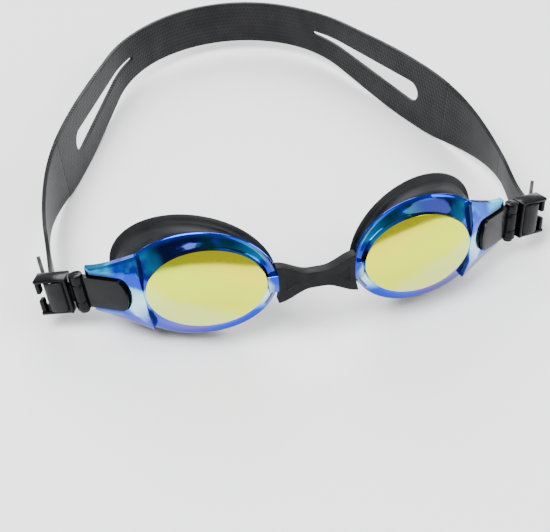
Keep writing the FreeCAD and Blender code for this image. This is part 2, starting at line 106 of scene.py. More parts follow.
def turned(axis: str, degrees: float) -> Matrix:
    """A frame that is only turned."""
    return Matrix.Rotation(math.radians(degrees), 4, axis)


@dataclass(frozen=True)
class Stance:
    """Where the cups and hinges stand; the same sizes as the frame's, in millimetres and degrees."""

    loop_centre: float = 79.2
    centre_height: float = 23.9
    lean_back: float = 12.0
    lens_centre: float = 34.0
    wrap_angle: float = 13.0
    cup_roll: float = 7.0
    hinge_reach: float = 41.6
    hinge_depth: float = 11.2
    buckle_angle: float = 8.0

    def front(self) -> Matrix:
        """The frame midway between the two cups."""
        return moved(y=-self.loop_centre, z=self.centre_height) @ turned("X", -self.lean_back)

    def cup(self) -> Matrix:
        """The right-hand cup's frame."""
        middle = self.front() @ moved(x=self.lens_centre)
        return middle @ turned("Z", self.wrap_angle) @ turned("Y", self.cup_roll)

    def hinge(self) -> Matrix:
        """The right-hand hinge's frame, with the pin along z."""
        return self.cup() @ moved(x=self.hinge_reach, y=self.hinge_depth) @ turned("Z", self.buckle_angle)

    def loop(self) -> Matrix:
        """The strap loop's frame, standing on the table."""
        return moved(y=-self.loop_centre)


STANCE = Stance()


# ---------------------------------------------------------------- the bench
@dataclass(frozen=True)
class Section:
    """One oval of a loft.

    Args:
        depth: place along the loft where the section's plane crosses its axis.
        half_width: half of the oval's long side.
        half_height: half of the oval's short side.
        shift: how far the oval's middle lies outward in its own plane.
        tilt: turn of the plane about the upright axis, in degrees.
    """

    depth: float
    half_width: float
    half_height: float
    shift: float = 0.0
    tilt: float = 0.0

    def between(self, other: "Section", share: float, sag: float = 0.0) -> "Section":
        """A section part of the way to another one.

        Args:
            other: the section at share 1.
            share: 0 for this section, 1 for the other.
            sag: extra depth at the middle of the way.

        Returns:
            The new section.
        """
        def mix(a: float, b: float) -> float:
            return a + (b - a) * share
        return Section(
            mix(self.depth, other.depth) + sag * 4 * share * (1 - share),
            mix(self.half_width, other.half_width), mix(self.half_height, other.half_height),
            mix(self.shift, other.shift), mix(self.tilt, other.tilt))

    def drawn_in(self, inset: float) -> "Section":
        """The same section, smaller all round by inset."""
        return replace(self, half_width=self.half_width - inset, half_height=self.half_height - inset)


class Bench:
    """The hand tools. Each one leaves nothing selected but the piece it worked on."""

    SIDES = 96
    ROUND_STEPS = 3
    MERGE = 0.0005

    @staticmethod
    def clear() -> None:
        """Go back to object mode with nothing selected."""
        if bpy.context.object and bpy.context.object.mode != "OBJECT":
            bpy.ops.object.mode_set(mode="OBJECT")
        bpy.ops.object.select_all(action="DESELECT")

    @classmethod
    def take(cls, piece: Piece) -> Piece:
        """Select one piece and make it the active one."""
        cls.clear()
        piece.select_set(True)
        bpy.context.view_layer.objects.active = piece
        return piece

    @staticmethod
    def pick(piece: Piece, chosen: Rule) -> None:
        """Select points in edit mode by their place.

        Args:
            piece: the piece that is open in edit mode.
            chosen: told a point's place, says whether it is selected.
        """
        bpy.ops.mesh.select_mode(type="VERT")
        work = bmesh.from_edit_mesh(piece.data)
        for face in work.faces:
            face.select = False
        for edge in work.edges:
            edge.select = False
        for point in work.verts:
            point.select = chosen(point.co)
        work.select_flush_mode()
        for edge in work.edges:
            edge.select = all(end.select for end in edge.verts)
        for face in work.faces:
            face.select = all(corner.select for corner in face.verts)
        bmesh.update_edit_mesh(piece.data)

    @classmethod
    def loft(cls, name: str, sections: Sequence[Section], ring: bool = False,
             axis: Axis = Axis.BACK) -> Piece:
        """Bridge ovals one after another.

        Args:
            name: the new piece's name.
            sections: the ovals in order.
            ring: join the last oval to the first; otherwise both ends are closed with a face.
            axis: the direction the sections are stacked along.

        Returns:
            The closed piece, with its faces outward.
        """
        cls.clear()
        lying = axis is Axis.UP
        bpy.ops.mesh.primitive_circle_add(
            vertices=cls.SIDES, radius=1.0, fill_type="NOTHING",
            rotation=(0.0 if lying else math.pi / 2, 0.0, 0.0))
        piece = bpy.context.object
        piece.name = piece.data.name = name
        cls.settle(piece)
        bpy.ops.object.mode_set(mode="EDIT")
        bpy.ops.mesh.select_mode(type="EDGE")
        bpy.ops.mesh.select_all(action="SELECT")
        for index, item in enumerate(sections):
            if index:
                cls.set_oval(sections[index - 1], lying, back=True)
            cls.set_oval(item, lying)
            if index < len(sections) - 1:
                bpy.ops.mesh.extrude_region_move()
        bpy.ops.mesh.select_all(action="DESELECT")
        bpy.ops.mesh.select_non_manifold(extend=False)
        if ring:
            bpy.ops.mesh.bridge_edge_loops()
        else:
            bpy.ops.mesh.fill_holes(sides=0)
        cls.outward(piece)
        return piece

    @staticmethod
    def set_oval(item: Section, lying: bool, back: bool = False) -> None:
        """Bring the selected unit circle to a section's place, or a section's oval back to the unit circle.

        Args:
            item: the section.
            lying: the oval lies level instead of standing across the depth.
            back: undo the section instead.
        """
        origin = (0.0, 0.0, 0.0)
        sign = -1.0 if back else 1.0
        wide, high = item.half_width, item.half_height
        if back:
            wide, high = 1 / wide, 1 / high
        size = (wide, high, 1.0) if lying else (wide, 1.0, high)
        depth = sign * item.depth
        along = (0.0, 0.0, depth) if lying else (0.0, depth, 0.0)
        tilt = -sign * math.radians(item.tilt)
        steps = [
            lambda: bpy.ops.transform.resize(value=size, center_override=origin),
            lambda: bpy.ops.transform.translate(value=(sign * item.shift, 0.0, 0.0)),
            lambda: bpy.ops.transform.rotate(value=tilt, orient_axis="Z", center_override=origin),
            lambda: bpy.ops.transform.translate(value=along),
        ]
        for step in reversed(steps) if back else steps:
            step()

    @classmethod
    def outward(cls, piece: Piece) -> None:
        """Merge doubled points and turn every face outward."""
        cls.take(piece)
        bpy.ops.object.mode_set(mode="EDIT")
        bpy.ops.mesh.select_all(action="SELECT")
        bpy.ops.mesh.remove_doubles(threshold=cls.MERGE)
        bpy.ops.mesh.normals_make_consistent(inside=False)
        bpy.ops.object.mode_set(mode="OBJECT")

    @classmethod
    def block(cls, name: str, low: Sequence[float], high: Sequence[float], edge: float = 0.0) -> Piece:
        """A block between two corners, its edges rounded.

        Args:
            name: the new piece's name.
            low: the lowest corner.
            high: the highest corner.
            edge: the rounding, or 0 for none.

        Returns:
            The block.
        """
        cls.clear()
        middle = [(a + b) / 2 for a, b in zip(low, high)]
        bpy.ops.mesh.primitive_cube_add(size=1.0, location=middle)
        piece = bpy.context.object
        piece.name = piece.data.name = name
        piece.scale = [b - a for a, b in zip(low, high)]
        cls.settle(piece)
        if edge:
            cls.round_edges(piece, edge, cls.ROUND_STEPS)
        return piece

    @classmethod
    def drum(cls, name: str, radius: float, low: float, high: float, place: Sequence[float] = (0.0, 0.0),
             edge: float = 0.0, along_y: bool = False, sides: int = 48) -> Piece:
        """A round bar, upright or along y, its rims rounded.

        Args:
            name: the new piece's name.
            radius: the bar's radius.
            low: where it starts along its axis.
            high: where it ends along its axis.
            place: the axis's place in the other two directions.
            edge: the rounding of the rims.
            along_y: lay the bar along y instead of z.
            sides: how many faces go round it.

        Returns:
            The bar.
        """
        cls.clear()
        middle = (low + high) / 2
        place3 = (place[0], middle, place[1]) if along_y else (place[0], place[1], middle)
        bpy.ops.mesh.primitive_cylinder_add(
            vertices=sides, radius=radius, depth=high - low, location=place3,
            rotation=(math.pi / 2 if along_y else 0.0, 0.0, 0.0))
        piece = bpy.context.object
        piece.name = piece.data.name = name
        cls.settle(piece)
        if edge:
            cls.round_edges(piece, edge, cls.ROUND_STEPS)
        return piece

    @classmethod
    def settle(cls, piece: Piece) -> None:
        """Write a piece's place, turn and scale into its mesh."""
        cls.take(piece)
        bpy.ops.object.transform_apply(location=True, rotation=True, scale=True)

    @classmethod
    def round_edges(cls, piece: Piece, width: float, segments: int = 2, angle: float = 35.0) -> None:
        """Round every edge sharper than an angle.

        Args:
            piece: the piece.
            width: the rounding.
            segments: steps in the rounding.
            angle: the least angle that is rounded, in degrees.
        """
        cls.take(piece)
        bpy.ops.object.modifier_add(type="BEVEL")
        bevel = piece.modifiers[-1]
        bevel.width = width
        bevel.segments = segments
        bevel.limit_method = "ANGLE"
        bevel.angle_limit = math.radians(angle)
        bpy.ops.object.modifier_apply(modifier=bevel.name)

    @classmethod
    def combine(cls, base: Piece, other: Piece, how: Join) -> Piece:
        """Unite a second solid with the first or cut it away, and throw the second one out.

        Args:
            base: the piece that is kept.
            other: the piece that is used up.
            how: unite or cut.

        Returns:
            The kept piece.
        """
        cls.take(base)
        bpy.ops.object.modifier_add(type="BOOLEAN")
        step = base.modifiers[-1]
        step.operation = how.value
        step.solver = "EXACT"
        step.object = other
        bpy.ops.object.modifier_apply(modifier=step.name)
        bpy.data.objects.remove(other)
        return base

    @classmethod
    def thicken(cls, piece: Piece, thickness: float, edge: float) -> None:
        """Give a sheet its thickness, half each way, and round its rims.

        Args:
            piece: the sheet.
            thickness: its full thickness.
            edge: the rounding of its rims.
        """
        cls.take(piece)
        bpy.ops.object.modifier_add(type="SOLIDIFY")
        wall = piece.modifiers[-1]
        wall.thickness = thickness
        wall.offset = 0.0
        bpy.ops.object.modifier_apply(modifier=wall.name)
        cls.round_edges(piece, edge, 2, 50.0)

    @classmethod
    def finish(cls, piece: Piece, place: Matrix, angle: float = 32.0) -> Piece:
        """Keep each point's working place for the finish, set the piece in the frame and smooth it.

        Args:
            piece: the piece, modelled in millimetres.
            place: the working frame it was modelled in.
            angle: edges sharper than this stay crisp, in degrees.

        Returns:
            The piece at the origin, in metres.
        """
        cls.outward(piece)
        if "place" not in piece.data.attributes:
            kept = piece.data.attributes.new("place", "FLOAT_VECTOR", "POINT")
            for point, value in zip(piece.data.vertices, kept.data):
                value.vector = point.co
        piece.matrix_world = Matrix.Scale(MILLIMETRE, 4) @ place
        cls.settle(piece)
        bpy.ops.object.shade_smooth_by_angle(angle=math.radians(angle))
        return piece

    @classmethod
    def mirror(cls, piece: Piece, name: str) -> Piece:
        """A left-hand copy with a mesh of its own and its faces outward.

        Args:
            piece: the finished right-hand piece.
            name: the copy's name.

        Returns:
            The copy.
        """
        cls.take(piece)
        bpy.ops.object.duplicate()
        copy = bpy.context.object
        copy.name = copy.data.name = name
        copy.scale = (-1.0, 1.0, 1.0)
        cls.settle(copy)
        work = bmesh.new()
        work.from_mesh(copy.data)
        inside_out = work.calc_volume(signed=True) < 0
        work.free()
        if inside_out:
            bpy.ops.object.mode_set(mode="EDIT")
            bpy.ops.mesh.select_all(action="SELECT")
            bpy.ops.mesh.flip_normals()
            bpy.ops.object.mode_set(mode="OBJECT")
        return copy


# ---------------------------------------------------------------- finishes
class Paint:
    """A material's node tree, built a node at a time."""

    def __init__(self, name: str) -> None:
        """Start a material with an empty tree.

        Args:
            name: the material's name.
        """
        self.material = bpy.data.materials.new(name)
        self.material.use_nodes = True
        self.tree = self.material.node_tree
        self.tree.nodes.clear()
        self.output = self.add("ShaderNodeOutputMaterial")
        self.shader = self.add("ShaderNodeBsdfPrincipled")
        self.tree.links.new(self.shader.outputs["BSDF"], self.output.inputs["Surface"])

    def add(self, kind: str, **settings: object) -> bpy.types.Node:
        """A node with some of its settings made.

        Args:
            kind: the node's type.
            settings: attributes to set on it.

        Returns:
            The node.
        """
        node = self.tree.nodes.new(kind)
        for key, value in settings.items():
            setattr(node, key, value)
        return node

    def set(self, **values: object) -> None:
        """Set constant values on the shader's own sockets; underscores stand for spaces."""
        for key, value in values.items():
            self.shader.inputs[key.replace("_", " ")].default_value = value

    def drive(self, name: str, value: Socket) -> None:
        """Let a socket's pattern drive one of the shader's own sockets."""
        self.feed(self.shader.inputs[name], value)

    def feed(self, socket: Socket, value: object) -> None:
        """Link a socket to another, or set its value."""
        if isinstance(value, Socket):
            self.tree.links.new(value, socket)
        else:
            socket.default_value = value

    def math(self, operation: str, *values: object) -> Socket:
        """A sum on numbers or sockets.

        Args:
            operation: the node's operation.
            values: numbers or sockets.

        Returns:
            The result's socket.
        """
        node = self.add("ShaderNodeMath", operation=operation)
        for socket, value in zip(node.inputs, values):
            self.feed(socket, value)
        return node.outputs[0]

    def span(self, value: object, low: float, high: float, start: float = 0.0, end: float = 1.0,
             smooth: bool = True) -> Socket:
        """Map a number from one span to another, held at the ends.

        Args:
            value: the number or socket.
            low: the input that gives start.
            high: the input that gives end.
            start: the first output.
            end: the last output.
            smooth: ease in and out.

        Returns:
            The result's socket.
        """
        node = self.add("ShaderNodeMapRange", interpolation_type="SMOOTHSTEP" if smooth else "LINEAR")
        names = ("Value", "From Min", "From Max", "To Min", "To Max")
        for name, item in zip(names, (value, low, high, start, end)):
            self.feed(node.inputs[name], item)
        return node.outputs["Result"]

    def place(self) -> tuple[Socket, Socket, Socket, Socket]:
        """The working place kept on the piece: its vector and its three numbers."""
        source = self.add("ShaderNodeAttribute", attribute_name="place")
        parts = self.add("ShaderNodeSeparateXYZ")
        self.feed(parts.inputs[0], source.outputs["Vector"])
        return (source.outputs["Vector"], *parts.outputs)

    def noise(self, vector: Socket, scale: float, detail: float = 3.0,
              roughness: float = 0.55) -> Socket:
        """A noise over a vector.

        Args:
            vector: where to read it.
            scale: how fine it is.
            detail: layers of finer noise.
            roughness: strength of the finer layers.

        Returns:
            The noise's number socket.
        """
        node = self.add("ShaderNodeTexNoise")
        self.feed(node.inputs["Vector"], vector)
        for name, item in (("Scale", scale), ("Detail", detail), ("Roughness", roughness)):
            node.inputs[name].default_value = item
        return node.outputs[0]

    def ramp(self, value: Socket, stops: Sequence[tuple[float, Colour]]
             ) -> Socket:
        """A colour ramp.

        Args:
            value: the number socket that picks the colour.
            stops: places and colours.

        Returns:
            The colour socket.
        """
        node = self.add("ShaderNodeValToRGB")
        node.color_ramp.interpolation = "EASE"
        points = node.color_ramp.elements
        for index, (where, colour) in enumerate(stops):
            point = points[index] if index < 2 else points.new(where)
            point.position = where
            point.color = (*colour, 1.0)
        self.feed(node.inputs[0], value)
        return node.outputs[0]

    def mix(self, share: object, first: object, second: object) -> Socket:
        """Mix two colours.

        Args:
            share: how much of the second.
            first: a colour or socket.
            second: a colour or socket.

        Returns:
            The colour socket.
        """
        node = self.add("ShaderNodeMix", data_type="RGBA", blend_type="MIX")
        self.feed(node.inputs[0], share)
        for socket, item in ((node.inputs[6], first), (node.inputs[7], second)):
            self.feed(socket, (*item, 1.0) if isinstance(item, tuple) else item)
        return node.outputs[2]

    def relief(self, *layers: tuple[Socket, float, float]) -> None:
        """Raise the surface by layers of height, each with its strength and its depth in metres."""
        below = None
        for height, strength, distance in layers:
            node = self.add("ShaderNodeBump")
            node.inputs["Strength"].default_value = strength
            node.inputs["Distance"].default_value = distance
            self.feed(node.inputs["Height"], height)
            if below is not None:
                self.feed(node.inputs["Normal"], below)
            below = node.outputs["Normal"]
        self.drive("Normal", below)


@dataclass(frozen=True)
class GoldMirror:
    """The flat oval's coating: lime gold, with a painted reflection: a paler cloud that drifts over the temple half.
    """

    lime: Colour = (0.64, 0.74, 0.012)
    gold: Colour = (0.74, 0.70, 0.012)
    # pale is a painted reflection of a bright light on the mirror.
    pale: Colour = (0.60, 0.70, 0.16)

    def make(self) -> Material:
        """The finished material."""
        paint = Paint("lens_gold_mirror")
        vector, across, _, up = paint.place()
        drift = paint.noise(vector, 0.045, 1.0)
        # The slope and the drift carry the tone up to the pale stop, a painted reflection, towards the lower temple
        # side.
        slope = paint.math("ADD", paint.math("MULTIPLY", across, 0.018), paint.math("MULTIPLY", up, -0.026))
        tone = paint.math("ADD", paint.math("ADD", slope, 0.25), paint.math("MULTIPLY", drift, 0.42))
        colour = paint.ramp(tone, ((0.10, self.gold), (0.42, self.lime), (0.62, self.lime), (0.80, self.pale)))
        paint.drive("Base Color", colour)
        haze = paint.noise(vector, 0.9, 4.0)
        paint.drive("Roughness", paint.span(haze, 0.3, 0.8, 0.07, 0.13))
        paint.set(Metallic=1.0, Coat_Weight=0.04, Coat_Roughness=0.05)
        paint.relief((paint.noise(vector, 0.12, 1.0), 0.12, 0.0004))
        return paint.material


@dataclass(frozen=True)
class BlueMirror:
    """The surround's coating: deep and royal blue with violet in bands round the oval, with painted highlights: cyan
    and pale glint bands, a royal blue rim edge and cyan wing borders.

    Args:
        shift: how far outward the rim's middle lies, in millimetres.
        half_width: half of the rim's long side, in millimetres.
        half_height: half of the rim's short side, in millimetres.
    """

    # cyan and glint are painted highlights on the coating.
    deep: Colour = (0.003, 0.007, 0.060)
    royal: Colour = (0.004, 0.035, 0.46)
    cyan: Colour = (0.010, 0.36, 0.74)
    violet: Colour = (0.055, 0.018, 0.36)
    teal: Colour = (0.002, 0.035, 0.060)
    glint: Colour = (0.42, 0.74, 0.86)
    shift: float = 3.0
    half_width: float = 25.0
    half_height: float = 18.0

    def make(self) -> Material:
        """The finished material."""
        paint = Paint("lens_blue_mirror")
        vector, across, _, up = paint.place()
        angle = paint.math("ARCTAN2", up, paint.math("SUBTRACT", across, self.shift))
        turn = paint.span(angle, -math.pi, math.pi, 0.0, 1.0, smooth=False)
        drift = paint.noise(vector, 0.06, 2.0)
        along = paint.math("ADD", turn, paint.math("MULTIPLY", paint.math("SUBTRACT", drift, 0.5), 0.22))
        # The bands round the oval carry painted reflections: the glint and cyan bands are painted highlights.
        bands = paint.ramp(along, (
            (0.0, self.teal), (0.07, self.glint), (0.14, self.royal), (0.30, self.violet), (0.42, self.royal),
            (0.49, self.glint), (0.57, self.cyan), (0.66, self.deep), (0.76, self.deep), (0.84, self.teal),
            (0.93, self.cyan), (1.0, self.teal)))
        streak = paint.noise(vector, 0.11, 2.0, 0.4)
        streaked = paint.mix(paint.span(streak, 0.50, 0.62), bands, self.royal)
        wide = paint.math("DIVIDE", paint.math("SUBTRACT", across, self.shift), self.half_width)
        wide = paint.math("POWER", wide, 2.0)
        high = paint.math("POWER", paint.math("DIVIDE", up, self.half_height), 2.0)
        radial = paint.math("SQRT", paint.math("ADD", wide, high))
        # Painted edge highlight: the outer rim turns royal blue.
        edge = paint.span(radial, 0.90, 0.995)
        rim = paint.mix(paint.math("MULTIPLY", edge, 0.85), streaked, self.royal)
        wing = paint.span(across, 27.0, 31.0)
        # Painted highlights: cyan along the wing's upper and lower borders; the wing is deep above the middle and
        # royal below.
        border = paint.span(paint.math("ABSOLUTE", up), 5.8, 8.6)
        wing_tone = paint.mix(border, self.deep, self.cyan)
        lower = paint.mix(paint.span(up, -9.5, -6.0), self.violet, wing_tone)
        wing_low = paint.span(up, -3.0, 3.0)
        wing_tone = paint.mix(wing_low, paint.mix(border, self.royal, lower), wing_tone)
        rim = paint.mix(wing, rim, wing_tone)
        paint.drive("Base Color", rim)
        haze = paint.noise(vector, 0.8, 4.0)
        paint.drive("Roughness", paint.span(haze, 0.3, 0.8, 0.08, 0.16))
        paint.set(Metallic=1.0, Coat_Weight=0.12, Coat_Roughness=0.04)
        paint.relief((paint.noise(vector, 0.16, 1.5), 0.2, 0.0006))
        return paint.material


@dataclass(frozen=True)
class LensInside:
    """The uncoated inner face of the shell: dark smoke-blue polycarbonate."""

    smoke: Colour = (0.020, 0.035, 0.075)
    glow: Colour = (0.05, 0.075, 0.12)

    def make(self) -> Material:
        """The finished material."""
        paint = Paint("lens_inside")
        vector, *_ = paint.place()
        tone = paint.noise(vector, 0.08, 2.0)
        paint.drive("Base Color", paint.mix(tone, self.smoke, self.glow))
        paint.drive("Roughness", paint.span(paint.noise(vector, 1.1, 3.0), 0.3, 0.8, 0.07, 0.16))
        paint.set(Coat_Weight=0.5, Coat_Roughness=0.05)
        paint.relief((paint.noise(vector, 0.2, 1.0), 0.1, 0.0003))
        return paint.material


@dataclass(frozen=True)
class SoftRubber:
    """Matt black moulded rubber with a fine grain; used for the gaskets and the bridge.

    Args:
        name: the material's name.
        dark: its colour in the shade of the grain.
        light: its colour where the skin is rubbed.
        dust: the colour of its few pale specks.
        sheen: how velvety it is.
        rough_low: its least roughness.
        rough_high: its greatest roughness.
    """

    name: str
    dark: Colour
    light: Colour
    dust: Colour = (0.04, 0.04, 0.043)
    sheen: float = 0.01
    rough_low: float = 0.42
    rough_high: float = 0.62

    def make(self) -> Material:
        """The finished material."""
        paint = Paint(self.name)
        vector, *_ = paint.place()
        grain = paint.noise(vector, 6.0, 4.0, 0.6)
        cloud = paint.noise(vector, 0.16, 3.0)
        tone = paint.span(cloud, 0.35, 0.7)
        colour = paint.mix(tone, self.dark, self.light)
        speck = paint.span(paint.noise(vector, 9.0, 2.0), 0.66, 0.74)
        paint.drive("Base Color", paint.mix(paint.math("MULTIPLY", speck, 0.25), colour, self.dust))
        paint.drive("Roughness", paint.span(cloud, 0.3, 0.75, self.rough_low, self.rough_high))
        paint.set(Sheen_Weight=self.sheen, Sheen_Roughness=0.4, Specular_IOR_Level=0.13)
        paint.relief((grain, 0.22, 0.00008), (cloud, 0.15, 0.0003))
        return paint.material


@dataclass(frozen=True)
class GlossClip:
    """Glossy black injection-moulded plastic with a faint ripple and handling marks."""

    black: Colour = (0.002, 0.002, 0.0025)
    scuff: Colour = (0.010, 0.010, 0.011)

    def make(self) -> Material:
        """The finished material."""
        paint = Paint("clip_gloss_black")
        vector, *_ = paint.place()
        marks = paint.span(paint.noise(vector, 2.4, 5.0, 0.7), 0.58, 0.72)
        paint.drive("Base Color", paint.mix(marks, self.black, self.scuff))
        paint.drive("Roughness", paint.span(paint.noise(vector, 1.2, 4.0), 0.3, 0.75, 0.10, 0.24))
        paint.set(Coat_Weight=0.03, Coat_Roughness=0.06, Specular_IOR_Level=0.14)
        paint.relief((paint.noise(vector, 0.5, 2.0), 0.12, 0.0003))
        return paint.material


@dataclass(frozen=True)
class PittedSilicone:
    """Charcoal silicone. Where the piece's mask says so it has fine pits in staggered rows, darkened with painted
    shade.

    Args:
        pitch: distance between pits along the strap, in millimetres.
    """

    pitch: float = 1.5
    dark: Colour = (0.0075, 0.0075, 0.0085)
    light: Colour = (0.016, 0.016, 0.018)
    # The pits' colour is painted shade.
    pit_shade: Colour = (0.002, 0.002, 0.0025)

    def make(self) -> Material:
        """The finished material."""
        paint = Paint("strap_silicone")
        vector, along, up, mask = paint.place()
        column = paint.math("DIVIDE", along, self.pitch)
        row = paint.math("DIVIDE", up, self.pitch)
        odd = paint.math("MULTIPLY", paint.math("MODULO", paint.math("FLOOR", row), 2.0), 0.5)
        x = paint.math("SUBTRACT", paint.math("FRACT", paint.math("ADD", column, odd)), 0.5)
        y = paint.math("SUBTRACT", paint.math("FRACT", row), 0.5)
        squares = paint.math("ADD", paint.math("MULTIPLY", x, x), paint.math("MULTIPLY", y, y))
        reach = paint.math("SQRT", squares)
        hole = paint.math("MULTIPLY", paint.span(reach, 0.16, 0.30, 1.0, 0.0), mask)
        cloud = paint.noise(vector, 0.09, 3.0)
        base = paint.mix(paint.span(cloud, 0.3, 0.75), self.dark, self.light)
        # The pits are darkened with painted shade.
        paint.drive("Base Color", paint.mix(paint.math("MULTIPLY", hole, 0.8), base, self.pit_shade))
        fine = paint.noise(vector, 3.5, 4.0)
        paint.drive("Roughness", paint.span(fine, 0.3, 0.8, 0.36, 0.52))
        paint.set(Sheen_Weight=0.01, Sheen_Roughness=0.45, Specular_IOR_Level=0.14)
        paint.relief((paint.math("SUBTRACT", 1.0, hole), 0.6, 0.00018), (fine, 0.12, 0.00006))
        return paint.material


@dataclass(frozen=True)
class PaleFloor:
    """Plain pale matt floor."""

    tone: Colour = (0.93, 0.93, 0.93)
    cloud: Colour = (0.95, 0.95, 0.95)

    def make(self) -> Material:
        """The finished material."""
        paint = Paint("pale_floor")
        source = paint.add("ShaderNodeTexCoord")
        cloud = paint.noise(source.outputs["Object"], 3.0, 2.0)
        paint.drive("Base Color", paint.mix(cloud, self.tone, self.cloud))
        paint.set(Roughness=0.85, Specular_IOR_Level=0.2)
        return paint.material


# ---------------------------------------------------------------- lens shell
def dress(piece: Piece, *materials: Material) -> None:
    """Give a piece its materials, in slot order, in place of any it has."""
    piece.data.materials.clear()
    for material in materials:
        piece.data.materials.append(material)


def paint_faces(piece: Piece, coat: Coat, rule: Callable[[bpy.types.MeshPolygon], bool]) -> None:
    """Give the faces that a rule picks one of the coats.

    Args:
        piece: the piece, still in its working frame.
        coat: the coat.
        rule: told a face, says whether it is painted.
    """
    for face in piece.data.polygons:
        if rule(face):
            face.material_index = coat.value


@dataclass
class LensShell:
    """Mirrored shell: a raised flat oval, a flared surround, a ridged temple wing and a nasal tongue."""

    half_width: float = 19.0
    half_height: float = 13.3
    bevel: float = 0.35
    wall: float = 1.9
    rim_half_width: float = 25.0
    rim_half_height: float = 18.0
    rim_shift: float = 3.0
    rim_depth: float = 4.2
    rim_tilt: float = 3.0
    rim_edge: float = 0.5
    flare: tuple[tuple[float, float], ...] = ((0.08, 0.0), (0.30, 0.35), (0.55, 0.35), (0.80, 0.30), (0.94, 0.2))
    shell: float = 1.6
    hollow_floor: float = 1.85
    hollow_foot: float = 2.9
    hollow_end: float = 12.0
    seat_inset: float = 0.88
    seat_mouth: Section = Section(13.4, 26.12, 17.12, 6.0, 17.0)
    seat_end: Section = Section(19.0, 28.0, 19.0, 6.0, 17.0)
    wing_step: float = 0.6
    wing_reach: float = 38.3
    wing_depth: float = 10.5
    wing_thickness: float = 2.6
    wing_half_root: float = 13.5
    wing_half_tip: float = 7.6
    wing_sweep: float = 1.25
    wing_cuts: int = 23
    ridge: float = 7.0
    ridge_draw: float = 0.7
    ridge_fall: float = 0.42
    dish: float = 0.3
    tip_round: float = 1.2
    least_wing: float = 0.5
    recess_nose: float = 24.2
    recess_half: float = 5.6
    recess_depth: float = 1.1
    nose_share: float = 0.62
    peg_reach: float = 33.5
    peg_hole: float = 1.7
    tongue: tuple[float, float, float, float] = (-25.6, -18.6, -5.7, -0.1)
    tongue_depths: tuple[float, float] = (1.1, 2.9)

    def slope(self) -> float:
        """How fast the wing's front goes back for each millimetre outward."""
        return self.wing_depth / (self.wing_reach - self.half_width)

    def rim(self, inset: float, rise: float = 0.0) -> Section:
        """The rear oval, drawn in by inset and moved back by rise."""
        return Section(self.rim_depth + rise, self.rim_half_width - inset, self.rim_half_height - inset,
                       self.rim_shift, self.rim_tilt)

    def body(self) -> Piece:
        """The solid of ovals, from the raised front face down its side wall and out to the rim."""
        foot = Section(self.wall / 2 + 0.45, self.half_width * 1.012, self.half_height * 1.03, -0.1,
                       -math.degrees(math.asin(self.wall / (2 * self.half_width))))
        rim = self.rim(0.0, -self.rim_edge)
        sections = [
            Section(0.0, self.half_width - self.bevel, self.half_height - self.bevel),
            Section(0.12, self.half_width - 0.08, self.half_height - 0.08),
            Section(0.35, self.half_width, self.half_height),
            foot,
            *(foot.between(rim, share, sag) for share, sag in self.flare),
            self.rim(0.0, -self.rim_edge * 0.6),
            self.rim(0.0, -0.12),
            self.rim(0.15, 0.0),
        ]
        return Bench.loft("lens_right", sections)

    def wing(self) -> Piece:
        """The temple wing: a tapered plate whose upper and lower borders fall away from two ridges."""
        root, reach = self.half_width + self.wing_step, self.wing_reach
        piece = Bench.block("wing", (0.0, 0.0, -1.0), (1.0, 1.0, 1.0))
        Bench.take(piece)
        bpy.ops.object.mode_set(mode="EDIT")
        bpy.ops.mesh.select_all(action="SELECT")
        bpy.ops.mesh.subdivide(number_cuts=self.wing_cuts)
        bpy.ops.object.mode_set(mode="OBJECT")
        for point in piece.data.vertices:
            x, y, z = point.co
            out = root + (reach - root) * x
            half = self.wing_half_tip + (self.wing_half_root - self.wing_half_tip) * (1 - x) ** self.wing_sweep
            height = half * z
            front = self.slope() * (out - self.half_width)
            ridge = self.ridge - self.ridge_draw * x
            fall = max(0.0, abs(height) - ridge) * self.ridge_fall
            dish = self.dish * max(0.0, 1 - abs(height) / ridge) * min(1.0, x * 3)
            tip = max(0.0, (out - reach + self.tip_round) / self.tip_round) ** 2 * 0.5
            back = front + self.wing_thickness + fall * 0.8
            face = min(front + fall + dish + tip, back - self.least_wing)
            curl = math.copysign(max(0.0, x - 0.55) ** 2 * 2.0, z) * abs(z) ** 3 * 0.5
            point.co = (out, face + (back - face) * y, height + curl)
        Bench.round_edges(piece, 0.3, 2, 50.0)
        return piece

    def recess(self) -> Piece:
        """A round-nosed block in the wing's slope; cutting it away leaves the recess for the arm."""
        half, nose = self.recess_half, self.recess_nose
        middle = nose + half * self.nose_share
        block = Bench.drum("recess", 1.0, -14.0, 30.0, along_y=True, sides=64)
        block.scale = (half * self.nose_share, 1.0, half)
        block.location = (middle, 0.0, 0.0)
        Bench.settle(block)
        for point in block.data.vertices:
            x, y, z = point.co
            if x > middle - 0.001:
                x += self.wing_reach - nose
            point.co = (x, self.slope() * (x - self.half_width) + self.recess_depth if y > 0 else y, z)
        return block

    def hollow(self) -> Piece:
        """The room inside the shell, behind the flat oval and its side wall."""
        return Bench.loft("hollow", [
            Section(self.hollow_floor, self.half_width - self.shell, self.half_height - self.shell),
            Section(self.hollow_foot, self.half_width - 1.2, self.half_height - 1.3, -0.1, -2.8),
            self.rim(self.shell, 0.2), self.rim(self.shell, self.hollow_end)])

    def seat(self) -> Piece:
        """The room for the gasket behind the rim."""
        return Bench.loft("seat", [self.rim(self.seat_inset, -0.06), self.seat_mouth, self.seat_end])

    def coat(self, piece: Piece) -> None:
        """Share the shell's faces out among the three coats.

        Args:
            piece: the right-hand shell, still in its working frame.
        """
        def on_oval(face: bpy.types.MeshPolygon) -> bool:
            """Whether a face belongs to the raised flat oval."""
            across, depth, up = face.center
            wide, high = across / (self.half_width - 0.1), up / (self.half_height - 0.1)
            return depth < 0.30 and wide ** 2 + high ** 2 < 0.99

